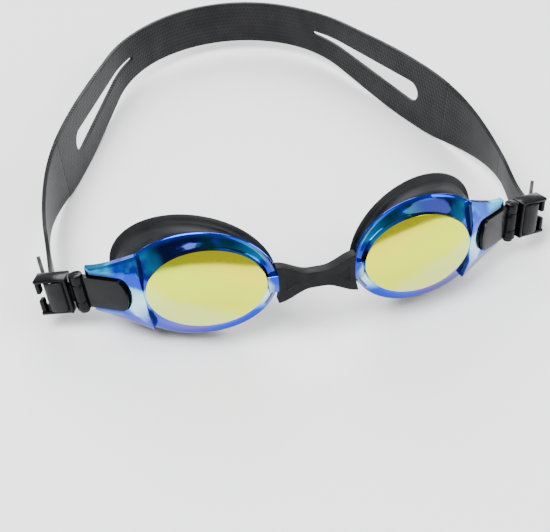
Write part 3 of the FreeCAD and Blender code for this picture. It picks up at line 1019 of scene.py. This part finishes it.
        def is_inside(face: bpy.types.MeshPolygon) -> bool:
            """Whether a face looks back, or in from the hollow's side."""
            across, depth, up = face.center
            wide, high = (across - self.rim_shift) / self.rim_half_width, up / self.rim_half_height
            if face.normal.y > 0.35:
                return True
            inward = face.normal.dot(Vector((across, 0, up))) < 0
            return depth > 1.0 and wide ** 2 + high ** 2 < 0.93 and inward

        paint_faces(piece, Coat.SURROUND, lambda face: True)
        paint_faces(piece, Coat.OVAL, on_oval)
        paint_faces(piece, Coat.INSIDE, is_inside)

    def build(self, coats: Sequence[Material]) -> list[Piece]:
        """Both shells.

        Args:
            coats: the oval's, the surround's and the inner face's materials.

        Returns:
            The right-hand and the left-hand shell.
        """
        piece = self.body()
        inner, seat = self.hollow(), self.seat()
        piece = Bench.combine(piece, self.wing(), Join.UNITE)
        piece = Bench.combine(piece, self.recess(), Join.CUT)
        low, high, down, top = self.tongue
        front, back = self.tongue_depths
        tongue = Bench.block("tongue", (low, front, down), (high, back, top), 0.3)
        piece = Bench.combine(piece, tongue, Join.UNITE)
        piece = Bench.combine(piece, inner, Join.CUT)
        piece = Bench.combine(piece, seat, Join.CUT)
        hole = Bench.drum("hole", self.peg_hole, 0.0, 20.0, (self.peg_reach, 0.0), along_y=True)
        piece = Bench.combine(piece, hole, Join.CUT)
        dress(piece, *coats)
        self.coat(piece)
        Bench.finish(piece, STANCE.cup(), 28.0)
        return [piece, Bench.mirror(piece, "lens_left")]


# ---------------------------------------------------------------- gasket
@dataclass
class Gasket:
    """Soft seal: a grooved side wall behind the shell and a flared lip against the face."""

    lip_depth: float = 13.4
    lip_tilt: float = 17.0
    lip_shift: float = 6.0
    lip_half_width: float = 28.5
    lip_half_height: float = 19.5
    inset: float = 0.9
    wall: float = 1.7
    flare: float = 2.4
    lip_thickness: float = 1.8
    groove: float = 0.35

    def build(self, shell: LensShell, rubber: Material) -> list[Piece]:
        """Both gaskets.

        Args:
            shell: the lens shell that they sit in.
            rubber: their material.

        Returns:
            The right-hand and the left-hand gasket.
        """
        def lip(inset: float, rise: float = 0.0) -> Section:
            """The rear oval, drawn in by inset and moved along the depth by rise."""
            return Section(self.lip_depth + rise, self.lip_half_width - inset, self.lip_half_height - inset,
                           self.lip_shift, self.lip_tilt)
        front = shell.rim(self.inset, 0.02)
        neck = lip(self.flare, -self.lip_thickness - 0.4)
        inner = lip(self.flare + self.wall + 0.2, -0.9)
        sections = [
            front,
            front.between(neck, 0.10),
            front.between(neck, 0.16, -0.1),
            front.between(neck, 0.20).drawn_in(self.groove),
            front.between(neck, 0.25),
            front.between(neck, 0.5),
            front.between(neck, 0.8),
            neck,
            lip(self.flare - 0.35, -self.lip_thickness + 0.1),
            lip(self.flare * 0.45, -self.lip_thickness + 0.5),
            lip(0.28, -0.95),
            lip(0.0, -0.55),
            lip(0.08, -0.2),
            lip(0.4, 0.0),
            lip(1.5, 0.0),
            lip(3.0, -0.05),
            lip(self.flare + self.wall - 0.3, -0.25),
            inner,
            inner.between(shell.rim(self.inset + self.wall, 0.02), 0.5),
            shell.rim(self.inset + self.wall, 0.02),
        ]
        piece = Bench.loft("gasket_right", sections, ring=True)
        dress(piece, rubber)
        Bench.finish(piece, STANCE.cup(), 50.0)
        return [piece, Bench.mirror(piece, "gasket_left")]


# ---------------------------------------------------------------- nose bridge
@dataclass
class NoseBridge:
    """Soft hourglass link with a shallow three-sided panel in each end."""

    half_length: float = 12.0
    end_reach: float = 12.8
    half_end: float = 6.3
    half_waist: float = 2.7
    front: float = 5.6
    thickness: float = 4.4
    panel_radius: float = 3.1
    panel_depth: float = 0.5
    panel_reach: float = 8.6

    def build(self, rubber: Material) -> Piece:
        """The bridge.

        Args:
            rubber: its material.

        Returns:
            The bridge.
        """
        Bench.clear()
        bpy.ops.mesh.primitive_grid_add(
            x_subdivisions=48, y_subdivisions=16, size=2.0, rotation=(math.pi / 2, 0, 0))
        piece = bpy.context.object
        piece.name = piece.data.name = "nose_bridge"
        Bench.settle(piece)
        for point in piece.data.vertices:
            x, _, z = point.co
            share = abs(x)
            swell = ease((share - 0.16) / 0.84)
            half = self.half_waist + (self.half_end - self.half_waist) * swell
            reach = self.half_length + (self.end_reach - self.half_length) * (z * z)
            arch = 0.7 * (1 - share * share)
            point.co = (x * reach, -self.front + self.thickness / 2 + 0.1 - 0.1 * arch, half * z)
        Bench.thicken(piece, self.thickness - 0.2, 0.8)
        for side in (1, -1):
            Bench.clear()
            bpy.ops.mesh.primitive_cylinder_add(
                vertices=3, radius=self.panel_radius, depth=2 * self.panel_depth,
                location=(side * self.panel_reach, -self.front + 0.1, 0.0),
                rotation=(math.pi / 2, side * math.pi / 2 + math.pi, 0.0))
            panel = bpy.context.object
            Bench.settle(panel)
            Bench.round_edges(panel, 0.45, 3, 60.0)
            Bench.combine(piece, panel, Join.CUT)
        dress(piece, rubber)
        Bench.finish(piece, STANCE.front(), 40.0)
        return piece


# ---------------------------------------------------------------- clip arm, pin and buckle
@dataclass
class Clip:
    """Black arm in the wing's recess, its hinge knuckles and the pin through them."""

    thickness: float = 2.0
    knuckle_radius: float = 2.3
    half_height: float = 6.35
    knuckle_half: float = 3.0
    knuckle_room: float = 0.1
    pin_radius: float = 0.8
    pin_head: tuple[tuple[float, float], ...] = ((0.15, 0.45), (0.0, 0.74), (-0.1, 0.8))
    pin_foot: tuple[tuple[float, float], ...] = (
        (0.02, 0.8), (0.03, 1.62), (0.15, 1.7), (0.7, 1.68), (1.0, 1.5), (1.2, 1.1), (1.3, 0.6))
    peg_radius: float = 1.6
    peg_length: float = 2.6

    def build(self, shell: LensShell, plastic: Material) -> list[Piece]:
        """Both arms and both pins.

        Args:
            shell: the lens shell whose recess the arm lies in.
            plastic: their material.

        Returns:
            The arms and the pins.
        """
        slope = math.atan(shell.slope())
        half = shell.recess_half - 0.12
        nose = shell.recess_nose + 0.12
        bend = half * shell.nose_share
        length = (STANCE.hinge_reach - nose) / math.cos(slope)
        plate = Bench.drum("clip_arm_right", 1.0, -self.thickness, 0.0, along_y=True, sides=64)
        plate.scale = (bend, 1.0, half)
        plate.location = (bend, 0.0, 0.0)
        Bench.settle(plate)
        for point in plate.data.vertices:
            if point.co.x > bend - 0.001:
                point.co.x = length - 0.6 * (abs(point.co.z) / half) ** 4
        Bench.round_edges(plate, 0.45, 3, 50.0)
        floor = shell.slope() * (nose - shell.half_width) + shell.recess_depth
        plate.matrix_world = moved(nose, floor - 0.05) @ turned("Z", math.degrees(slope))
        Bench.settle(plate)
        pivot = (STANCE.hinge_reach, STANCE.hinge_depth)
        inner = self.knuckle_half + self.knuckle_room
        for low, high in ((-self.half_height, -inner), (inner, self.half_height)):
            knuckle = Bench.drum("knuckle", self.knuckle_radius, low, high, pivot, 0.3)
            Bench.combine(plate, knuckle, Join.UNITE)
        room = Bench.drum("room", self.knuckle_radius + 0.3, -inner, inner, pivot)
        Bench.combine(plate, room, Join.CUT)
        bore = Bench.drum("bore", self.pin_radius + 0.02, -10.0, 10.0, pivot, sides=32)
        Bench.combine(plate, bore, Join.CUT)
        start = shell.slope() * (shell.peg_reach - shell.half_width)
        peg = Bench.drum("peg", self.peg_radius, start, start + self.peg_length, (shell.peg_reach, 0.0), 0.25,
                         along_y=True)
        Bench.combine(plate, peg, Join.UNITE)
        dress(plate, plastic)
        Bench.finish(plate, STANCE.cup())
        profile = [(self.half_height + rise, radius) for rise, radius in self.pin_head]
        profile += [(-self.half_height - drop, radius) for drop, radius in self.pin_foot]
        pin = Bench.loft("hinge_pin_right", [Section(place, radius, radius) for place, radius in profile],
                         axis=Axis.UP)
        dress(pin, plastic)
        Bench.finish(pin, STANCE.hinge())
        return [plate, Bench.mirror(plate, "clip_arm_left"), pin, Bench.mirror(pin, "hinge_pin_left")]


@dataclass
class Buckle:
    """Frame that swings on the pin: barrel, post, two cheeks, centre bar and a pair of hooks."""

    half_height: float = 6.35
    length: float = 13.6
    cheek: float = 1.2
    cheek_half_depth: float = 3.0
    barrel_radius: float = 2.3
    barrel_half: float = 3.0
    post: tuple[float, float] = (2.7, 3.7)
    bar: tuple[float, float] = (5.3, 8.5)
    bar_half_depth: float = 1.2
    hook_start: float = 12.0
    hook_front: float = 2.2
    hook_back: float = 0.6
    hook_gap: float = 2.2
    bore_radius: float = 0.85

    def cheek_plate(self, name: str, low: float, high: float) -> Piece:
        """One side plate, its far corners well rounded.

        Args:
            name: the plate's name.
            low: its lower face.
            high: its upper face.

        Returns:
            The plate.
        """
        piece = Bench.block(name, (self.post[0], -self.cheek_half_depth + 0.35, low),
                            (self.length, self.cheek_half_depth, high))
        Bench.take(piece)
        bpy.ops.object.mode_set(mode="EDIT")
        Bench.pick(piece, lambda place: place.x > self.length - 0.1)
        bpy.ops.transform.resize(value=(1.0, 0.72, 1.0), center_override=(self.length, -0.6, 0.0))
        bpy.ops.object.mode_set(mode="OBJECT")
        Bench.round_edges(piece, 0.42, 3)
        return piece

    def build(self, plastic: Material) -> list[Piece]:
        """Both buckles.

        Args:
            plastic: their material.

        Returns:
            The right-hand and the left-hand buckle.
        """
        top, inside = self.half_height, self.half_height - self.cheek
        piece = Bench.drum("buckle_right", self.barrel_radius, -self.barrel_half, self.barrel_half, edge=0.25)
        parts = [
            Bench.block("web", (0.6, -self.bar_half_depth, -self.barrel_half + 0.05),
                        (3.4, self.bar_half_depth, self.barrel_half - 0.05), 0.2),
            Bench.block("post", (self.post[0], -self.cheek_half_depth + 0.1, -top + 0.05),
                        (self.post[1], self.cheek_half_depth - 0.1, top - 0.05), 0.3),
            self.cheek_plate("cheek_top", inside, top),
            self.cheek_plate("cheek_low", -top, -inside),
            Bench.block("bar", (self.bar[0], -self.bar_half_depth, -top + 0.3),
                        (self.bar[1], self.bar_half_depth, top - 0.3), 0.55),
            Bench.block("hook_top", (self.hook_start, -self.hook_front, self.hook_gap / 2),
                        (self.length - 0.05, self.hook_back, top - 0.1), 0.5),
            Bench.block("hook_low", (self.hook_start, -self.hook_front, -top + 0.1),
                        (self.length - 0.05, self.hook_back, -self.hook_gap / 2), 0.5),
        ]
        for part in parts:
            Bench.combine(piece, part, Join.UNITE)
        bore = Bench.drum("bore", self.bore_radius, -10.0, 10.0, sides=32)
        Bench.combine(piece, bore, Join.CUT)
        dress(piece, plastic)
        Bench.finish(piece, STANCE.hinge())
        return [piece, Bench.mirror(piece, "buckle_left")]


# ---------------------------------------------------------------- strap
@dataclass(frozen=True)
class Run:
    """A straight stretch or an arc of a route, in plan."""

    start: Vector
    heading: Vector
    length: float
    centre: Vector | None = None
    side: int = 0
    radius: float = 0.0

    def at(self, distance: float) -> tuple[Vector, Vector]:
        """The point and the heading at a distance along this stretch."""
        if self.centre is None:
            return self.start + self.heading * distance, self.heading
        turn = Matrix.Rotation(self.side * distance / self.radius, 3, "Z")
        return self.centre + turn @ (self.start - self.centre), turn @ self.heading


class Route:
    """The strap's path in plan: straight stretches joined by arcs that touch them."""

    def __init__(self, corners: Sequence[Vector], bends: Sequence[float]) -> None:
        """Lay the route out.

        Args:
            corners: the corners in order, with the two ends.
            bends: the radius at each inner corner.
        """
        self.runs: list[Run] = []
        start = corners[0]
        for index in range(1, len(corners)):
            corner = corners[index]
            heading = (corner - corners[index - 1]).normalized()
            if index == len(corners) - 1:
                self.runs.append(Run(start, heading, (corner - start).length))
                break
            following = (corners[index + 1] - corner).normalized()
            side = 1 if heading.cross(following).z > 0 else -1
            radius = bends[index - 1]
            angle = heading.angle(following)
            end = corner - heading * radius * math.tan(angle / 2)
            self.runs.append(Run(start, heading, (end - start).length))
            centre = end + Vector((-heading.y, heading.x, 0)) * side * radius
            self.runs.append(Run(end, heading, radius * angle, centre, side, radius))
            start = corner + following * radius * math.tan(angle / 2)
        self.length = sum(run.length for run in self.runs)

    def at(self, distance: float) -> tuple[Vector, Vector]:
        """The point and the heading at a distance along the whole route."""
        for run in self.runs[:-1]:
            if distance <= run.length:
                return run.at(distance)
            distance -= run.length
        return self.runs[-1].at(distance)


@dataclass
class Strap:
    """One-piece silicone strap: two ends round the buckles, two narrow sides and the slotted band."""

    thickness: float = 1.3
    narrow_half: float = 4.9
    wide_half: float = 13.0
    band_half: float = 8.2
    middle: float = 13.0
    offset: float = 79.3
    start: float = 28.4
    side_end: float = 84.3
    slant: float = 26.0
    side_radius: float = 90.0
    back_radius: float = 50.0
    back_depth: float = 164.5
    widen: tuple[float, float] = (42.0, 97.0)
    taper: tuple[float, float] = (101.0, 158.0)
    slot: tuple[float, float] = (97.5, 149.0)
    slot_half: float = 4.0
    slot_tip: float = 0.7
    lean: float = 1.1
    wrap_offset: float = 1.95
    main_leg: float = 3.0
    tail_leg: float = 6.4
    tail_length: float = 18.0
    main_corner: float = 8.9
    tail_corner: float = 9.8
    wrap_front: float = 4.5
    wrap_radius: float = 1.2
    tail_radius: float = 6.0
    side_split: float = 21.0
    lap: float = 0.35
    edge: float = 0.28
    roll_bulge: float = 1.15
    tail_half_tip: float = 1.8
    splay: dict[Hand, float] = field(default_factory=lambda: {Hand.RIGHT: 24.0, Hand.LEFT: 4.0})

    def loop(self) -> Route:
        """The route from the right-hand buckle round the back to the left-hand one."""
        slant = math.radians(self.slant)
        apex = self.back_depth - self.back_radius + self.back_radius / math.sin(slant)
        bend = apex - self.offset / math.tan(slant)
        corners = ((self.offset, self.start), (self.offset, bend), (0, apex), (-self.offset, bend),
                   (-self.offset, self.start))
        return Route([Vector((x, y, 0)) for x, y in corners], [self.side_radius, self.back_radius, self.side_radius])

    def half(self, depth: float) -> float:
        """Half of the strap's width at a depth behind the lenses."""
        if depth < self.widen[1]:
            share = ease((depth - self.widen[0]) / (self.widen[1] - self.widen[0]))
            return self.narrow_half + (self.wide_half - self.narrow_half) * share
        share = ease((depth - self.taper[0]) / (self.taper[1] - self.taper[0]))
        return self.wide_half + (self.band_half - self.wide_half) * share

    def gap(self, depth: float) -> float:
        """Half of the slot's height at a depth, or 0 outside it."""
        first, last = self.slot
        if not first < depth < last:
            return 0.0
        if depth < first + self.slot_half:
            return math.sqrt(max(0.0, self.slot_half ** 2 - (first + self.slot_half - depth) ** 2))
        if depth > last - self.slot_tip:
            return math.sqrt(max(0.0, self.slot_tip ** 2 - (depth - last + self.slot_tip) ** 2))
        share = (depth - first - self.slot_half) / (last - self.slot_tip - first - self.slot_half)
        return self.slot_half + (self.slot_tip - self.slot_half) * share

    @staticmethod
    def strip(name: str, columns: int, rows: int,
              place: Callable[[int, float], tuple[Vector, Vector]]) -> Piece:
        """A flat strip that is laid out column by column.

        Args:
            name: the new piece's name.
            columns: faces along the strip.
            rows: faces across it.
            place: told the column's number and the share across, gives the point and what the finish
                reads there.

        Returns:
            The strip, still without thickness.
        """
        Bench.clear()
        bpy.ops.mesh.primitive_grid_add(x_subdivisions=columns, y_subdivisions=rows, size=1.0)
        piece = bpy.context.object
        piece.name = piece.data.name = name
        kept = piece.data.attributes.new("place", "FLOAT_VECTOR", "POINT")
        for point, value in zip(piece.data.vertices, kept.data):
            column = round((point.co.x + 0.5) * columns)
            point.co, value.vector = place(column, point.co.y + 0.5)
        return piece

    def point(self, route: Route, distance: float, height: float) -> Vector:
        """A point of the loop's middle surface, leaning out a little at its upper edge."""
        place, heading = route.at(distance)
        outward = Vector((heading.y, -heading.x, 0))
        share = ease((place.y - 45.0) / 45.0)
        lean = outward * self.lean * share * (height - self.middle) / self.wide_half
        return place + lean + Vector((0, 0, height))

    def band(self, silicone: Material) -> Piece:
        """The wide band with a slot in each side.

        Args:
            silicone: its material.

        Returns:
            The band.
        """
        route = self.loop()
        samples = [route.length * index / 4000 for index in range(2001)]
        depths = [route.at(distance)[0].y for distance in samples]

        def reach(depth: float) -> float:
            """The distance along the right-hand half at which the route is this deep."""
            index = min(range(len(depths)), key=lambda number: abs(depths[number] - depth))
            low = max(1, index)
            span = depths[low] - depths[low - 1]
            return samples[low - 1] + (depth - depths[low - 1]) / span * (samples[low] - samples[low - 1])

        marks = [self.side_end + (self.slot[0] - self.side_end) * step / 10 for step in range(10)]
        turn = math.pi / 2
        marks += [self.slot[0] + self.slot_half * (1 - math.cos(turn * step / 10)) for step in range(10)]
        last = self.slot[1] - self.slot_tip
        first = self.slot[0] + self.slot_half
        marks += [first + (last - first) * step / 34 for step in range(34)]
        marks += [last + self.slot_tip * math.sin(turn * step / 4) for step in range(5)]
        stations = [reach(depth) for depth in marks]
        centre = route.length / 2
        begin = stations[-1]
        stations += [begin + (centre - begin) * step / 26 for step in range(1, 27)]
        stations += [route.length - distance for distance in reversed(stations[:-1])]
        strands = []
        for sign in (1, -1):
            def place(column: int, share: float, sign: int = sign) -> tuple[Vector, Vector]:
                """The strand's point at a column and a share from the slot to the edge."""
                distance = stations[column]
                depth = route.at(distance)[0].y
                gap = self.gap(depth)
                height = self.middle + sign * (gap + (self.half(depth) - gap) * share)
                return self.point(route, distance, height), Vector((distance, height, 1.0))
            strands.append(self.strip("strand", len(stations) - 1, 12, place))
        Bench.take(strands[0])
        strands[1].select_set(True)
        bpy.ops.object.join()
        piece = bpy.context.object
        piece.name = piece.data.name = "strap_band"
        Bench.outward(piece)
        Bench.thicken(piece, self.thickness, self.edge)
        dress(piece, silicone)
        return Bench.finish(piece, STANCE.loop(), 50.0)

    def leg(self) -> Vector:
        """Heading of both strap legs behind the buckle, in the buckle's plan."""
        angle = math.radians(90 - STANCE.wrap_angle - STANCE.buckle_angle)
        return Vector((math.cos(angle), math.sin(angle), 0))

    def side(self, silicone: Material) -> tuple[Piece, Piece]:
        """The right-hand side run in two lengths, one next to each joint.

        Args:
            silicone: its material.

        Returns:
            The length next to the buckle and the length next to the band.
        """
        route = self.loop()
        leaving_point = Vector((self.main_corner, self.wrap_offset, 0)) + self.leg() * self.main_leg
        start = STANCE.loop().inverted() @ STANCE.hinge() @ leaving_point
        heading = (STANCE.hinge().to_3x3() @ self.leg()).normalized()
        upright = (STANCE.hinge().to_3x3() @ Vector((0, 0, 1))).normalized()
        split, whole = self.side_split, 0.0
        while route.at(whole)[0].y < self.side_end - 1e-4 and whole < 70.0:
            whole += 0.01
        lengths = []
        for name, low, high, columns in (
                ("strap_side_front_right", 0.0, split + self.lap, 22),
                ("strap_side_rear_right", split - self.lap, whole + self.lap, 34)):
            def place(column: int, share: float, low: float = low, high: float = high, columns: int = columns
                      ) -> tuple[Vector, Vector]:
                """The point at a column and a share across."""
                distance = low + (high - low) * column / columns
                here = route.at(distance)[0]
                half = self.half(here.y)
                height = (share * 2 - 1) * half
                settled = self.point(route, distance, self.middle + height)
                leaving = start + heading * distance + upright * height
                blend = ease(distance / (split - 3.0))
                pits = ease((here.y - 66.0) / 14.0)
                return leaving.lerp(settled, blend), Vector((distance, self.middle + height, pits))
            piece = self.strip(name, columns, 12, place)
            Bench.outward(piece)
            Bench.thicken(piece, self.thickness, self.edge)
            dress(piece, silicone)
            lengths.append(Bench.finish(piece, STANCE.loop(), 50.0))
        return lengths[0], lengths[1]

    def end(self, hand: Hand, silicone: Material) -> Piece:
        """The strap's turn round the centre bar with its free tail.

        Args:
            hand: which side it is on; the two tails stick out differently.
            silicone: its material.

        Returns:
            The strap end, on the right-hand side.
        """
        leg = self.leg()
        main = Vector((self.main_corner, self.wrap_offset, 0))
        under = Vector((self.tail_corner, -self.wrap_offset, 0))
        base = under + leg * self.tail_leg
        tail = Matrix.Rotation(-math.radians(self.splay[hand]), 3, "Z") @ leg
        corners = [main + leg * self.main_leg, main, Vector((self.wrap_front, self.wrap_offset, 0)),
                   Vector((self.wrap_front, -self.wrap_offset, 0)), under, base,
                   base + tail * self.tail_length]
        route = Route(corners, [self.wrap_radius] * 4 + [self.tail_radius])
        columns = 110

        def place(column: int, share: float) -> tuple[Vector, Vector]:
            """The point at a column and a share across."""
            distance = route.length * (column / columns)
            left = route.length - distance
            half = self.narrow_half
            if left < self.tail_length - 2:
                shoulder = (self.tail_length - 2 - left) / (self.tail_length - 2 - self.narrow_half)
                half = self.narrow_half * (1 - 0.2 * ease(shoulder))
            if left < self.narrow_half:
                fall = 1 - left / self.narrow_half
                swell = math.sqrt(max(0.0, 1 - fall ** 2.2))
                half = self.tail_half_tip + (self.narrow_half * 0.8 - self.tail_half_tip) * swell
            height = (share * 2 - 1) * half
            spot = route.at(distance)[0]
            if spot.y < 0 and spot.x < 10.2 and distance < route.length - self.tail_length - 3:
                round_over = max(0.0, 1 - ((spot.x - 6.9) / 3.4) ** 2)
                spot = spot - Vector((0, self.roll_bulge * round_over * (1 - 0.18 * (share * 2 - 1) ** 2), 0))
                height *= 1 + 0.04 * round_over
            return spot + Vector((0, 0, height)), Vector((distance, height + 40.0, 0.0))
        piece = self.strip(f"strap_end_{hand.value}", columns, 10, place)
        Bench.outward(piece)
        Bench.thicken(piece, self.thickness - 0.04, self.edge)
        dress(piece, silicone)
        return Bench.finish(piece, STANCE.hinge(), 50.0)


# ---------------------------------------------------------------- studio
@dataclass
class Studio:
    """Pale floor, soft light and the camera."""

    azimuth: float = -13.5
    elevation: float = 42.0
    distance: float = 450.0
    roll: float = -0.4
    focal: float = 94.65
    shift: tuple[float, float] = (-0.0709, 0.0091)

    def floor(self) -> None:
        """A wide floor under the strap's lower edges."""
        Bench.clear()
        bpy.ops.mesh.primitive_grid_add(x_subdivisions=2, y_subdivisions=2, size=6.0)
        ground = bpy.context.object
        ground.name = "studio_floor"
        ground.location.z = -0.0002
        dress(ground, PaleFloor().make())

    @staticmethod
    def lamp(name: str, place: Sequence[float], size: float, power: float) -> None:
        """A square soft light that points at the origin.

        Args:
            name: the light's name.
            place: where it hangs, in metres.
            size: the length of its side.
            power: its power in watts.
        """
        Bench.clear()
        bpy.ops.object.light_add(type="AREA", location=place)
        light = bpy.context.object
        light.name = name
        light.data.shape = "SQUARE"
        light.data.size = size
        light.data.energy = power
        light.rotation_euler = (-Vector(place)).to_track_quat("-Z", "Y").to_euler()

    def camera(self) -> None:
        """The camera, aimed at the middle of the two ovals."""
        a, e = math.radians(self.azimuth), math.radians(self.elevation)
        target = STANCE.front().translation * MILLIMETRE
        back = Vector((math.sin(a) * math.cos(e), -math.cos(a) * math.cos(e), math.sin(e)))
        Bench.clear()
        bpy.ops.object.camera_add(location=target + back * self.distance * MILLIMETRE)
        camera = bpy.context.object
        look = (-back).to_track_quat("-Z", "Y").to_matrix() @ Matrix.Rotation(math.radians(self.roll), 3, "Z")
        camera.rotation_euler = look.to_euler()
        camera.data.lens = self.focal
        camera.data.sensor_width = 36.0
        camera.data.shift_x, camera.data.shift_y = self.shift
        camera.data.clip_start, camera.data.clip_end = 0.01, 20.0
        bpy.context.scene.camera = camera

    def build(self) -> None:
        """Everything that isn't part of the goggles."""
        self.floor()
        self.lamp("key", (-0.35, -0.25, 0.75), 0.45, 13.0)
        self.lamp("fill", (0.6, -0.35, 0.5), 0.5, 6.0)
        self.lamp("back", (0.1, 0.75, 0.55), 0.6, 9.0)
        world = bpy.data.worlds.new("studio_air")
        world.use_nodes = True
        world.node_tree.nodes["Background"].inputs[0].default_value = (0.92, 0.94, 1.0, 1.0)
        world.node_tree.nodes["Background"].inputs[1].default_value = 0.62
        bpy.context.scene.world = world
        self.camera()


# ---------------------------------------------------------------- assembly
def stand_for(piece: Piece, body: str, slot: str, *nodes: str) -> None:
    """Let a piece stand for CAD nodes and ride on their body.

    Args:
        piece: the finished piece.
        body: the body it moves with.
        slot: the record's material slot; not used.
        nodes: the CAD nodes it stands for.
    """
    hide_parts(*nodes)
    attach(piece, body)
    LOG.info("%s rides on %s", piece.name, body)


def bend_over(piece: Piece, first: str, second: str, node: str) -> None:
    """Hide the CAD node that a strap length stands for and write its place into its mesh; the two bodies are only
    logged.

    Args:
        piece: the finished length.
        first: the body named for its front end, only logged.
        second: the body named for its rear end, only logged.
        node: the CAD node it stands for.
    """
    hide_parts(node)
    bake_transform(piece)
    LOG.info("%s bends from %s to %s", piece.name, first, second)


def main() -> None:
    """Build the sub-assemblies in order and report each piece."""
    logging.basicConfig(level=logging.INFO, format="%(message)s")
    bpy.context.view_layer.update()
    Studio().build()
    gold, blue, inside = GoldMirror().make(), BlueMirror().make(), LensInside().make()
    gasket_rubber = SoftRubber("gasket_rubber", (0.005, 0.005, 0.006), (0.012, 0.012, 0.014)).make()
    bridge_rubber = SoftRubber("bridge_rubber", (0.004, 0.004, 0.0045), (0.009, 0.009, 0.010)).make()
    plastic = GlossClip().make()
    silicone = PittedSilicone().make()

    shell = LensShell()
    for hand, piece in zip(Hand, shell.build((gold, blue, inside))):
        stand_for(piece, "front", "lens_mirror", f"lens_{hand.value}")
    for hand, piece in zip(Hand, Gasket().build(shell, gasket_rubber)):
        stand_for(piece, "front", "gasket_rubber", f"gasket_{hand.value}")
    stand_for(NoseBridge().build(bridge_rubber), "front", "bridge_rubber", "nose_bridge")
    clip_nodes = ("clip_arm_right", "clip_arm_left", "hinge_pin_right", "hinge_pin_left")
    for node, piece in zip(clip_nodes, Clip().build(shell, plastic)):
        stand_for(piece, "front", "clip_plastic", node)
    for hand, piece in zip(Hand, Buckle().build(plastic)):
        stand_for(piece, f"buckle_assembly_{hand.value}", "clip_plastic", f"buckle_{hand.value}")

    strap = Strap()
    stand_for(strap.band(silicone), "strap", "strap_silicone", "strap_band")
    end_right = strap.end(Hand.RIGHT, silicone)
    left_source = strap.end(Hand.LEFT, silicone)
    end_left = Bench.mirror(left_source, "strap_end_left_side")
    bpy.data.objects.remove(left_source)
    for hand, piece in ((Hand.RIGHT, end_right), (Hand.LEFT, end_left)):
        stand_for(piece, f"buckle_assembly_{hand.value}", "strap_silicone",
                  f"strap_wrap_{hand.value}", f"strap_tail_{hand.value}")
    near, far = strap.side(silicone)
    near_left = Bench.mirror(near, "strap_side_front_left")
    far_left = Bench.mirror(far, "strap_side_rear_left")
    bend_over(near, "buckle_assembly_right", "front", "strap_side_right")
    bend_over(near_left, "buckle_assembly_left", "front", "strap_side_left")
    bend_over(far, "front", "strap", "strap_side_right")
    bend_over(far_left, "front", "strap", "strap_side_left")

    Bench.clear()
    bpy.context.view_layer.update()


if __name__ == "__main__":
    main()
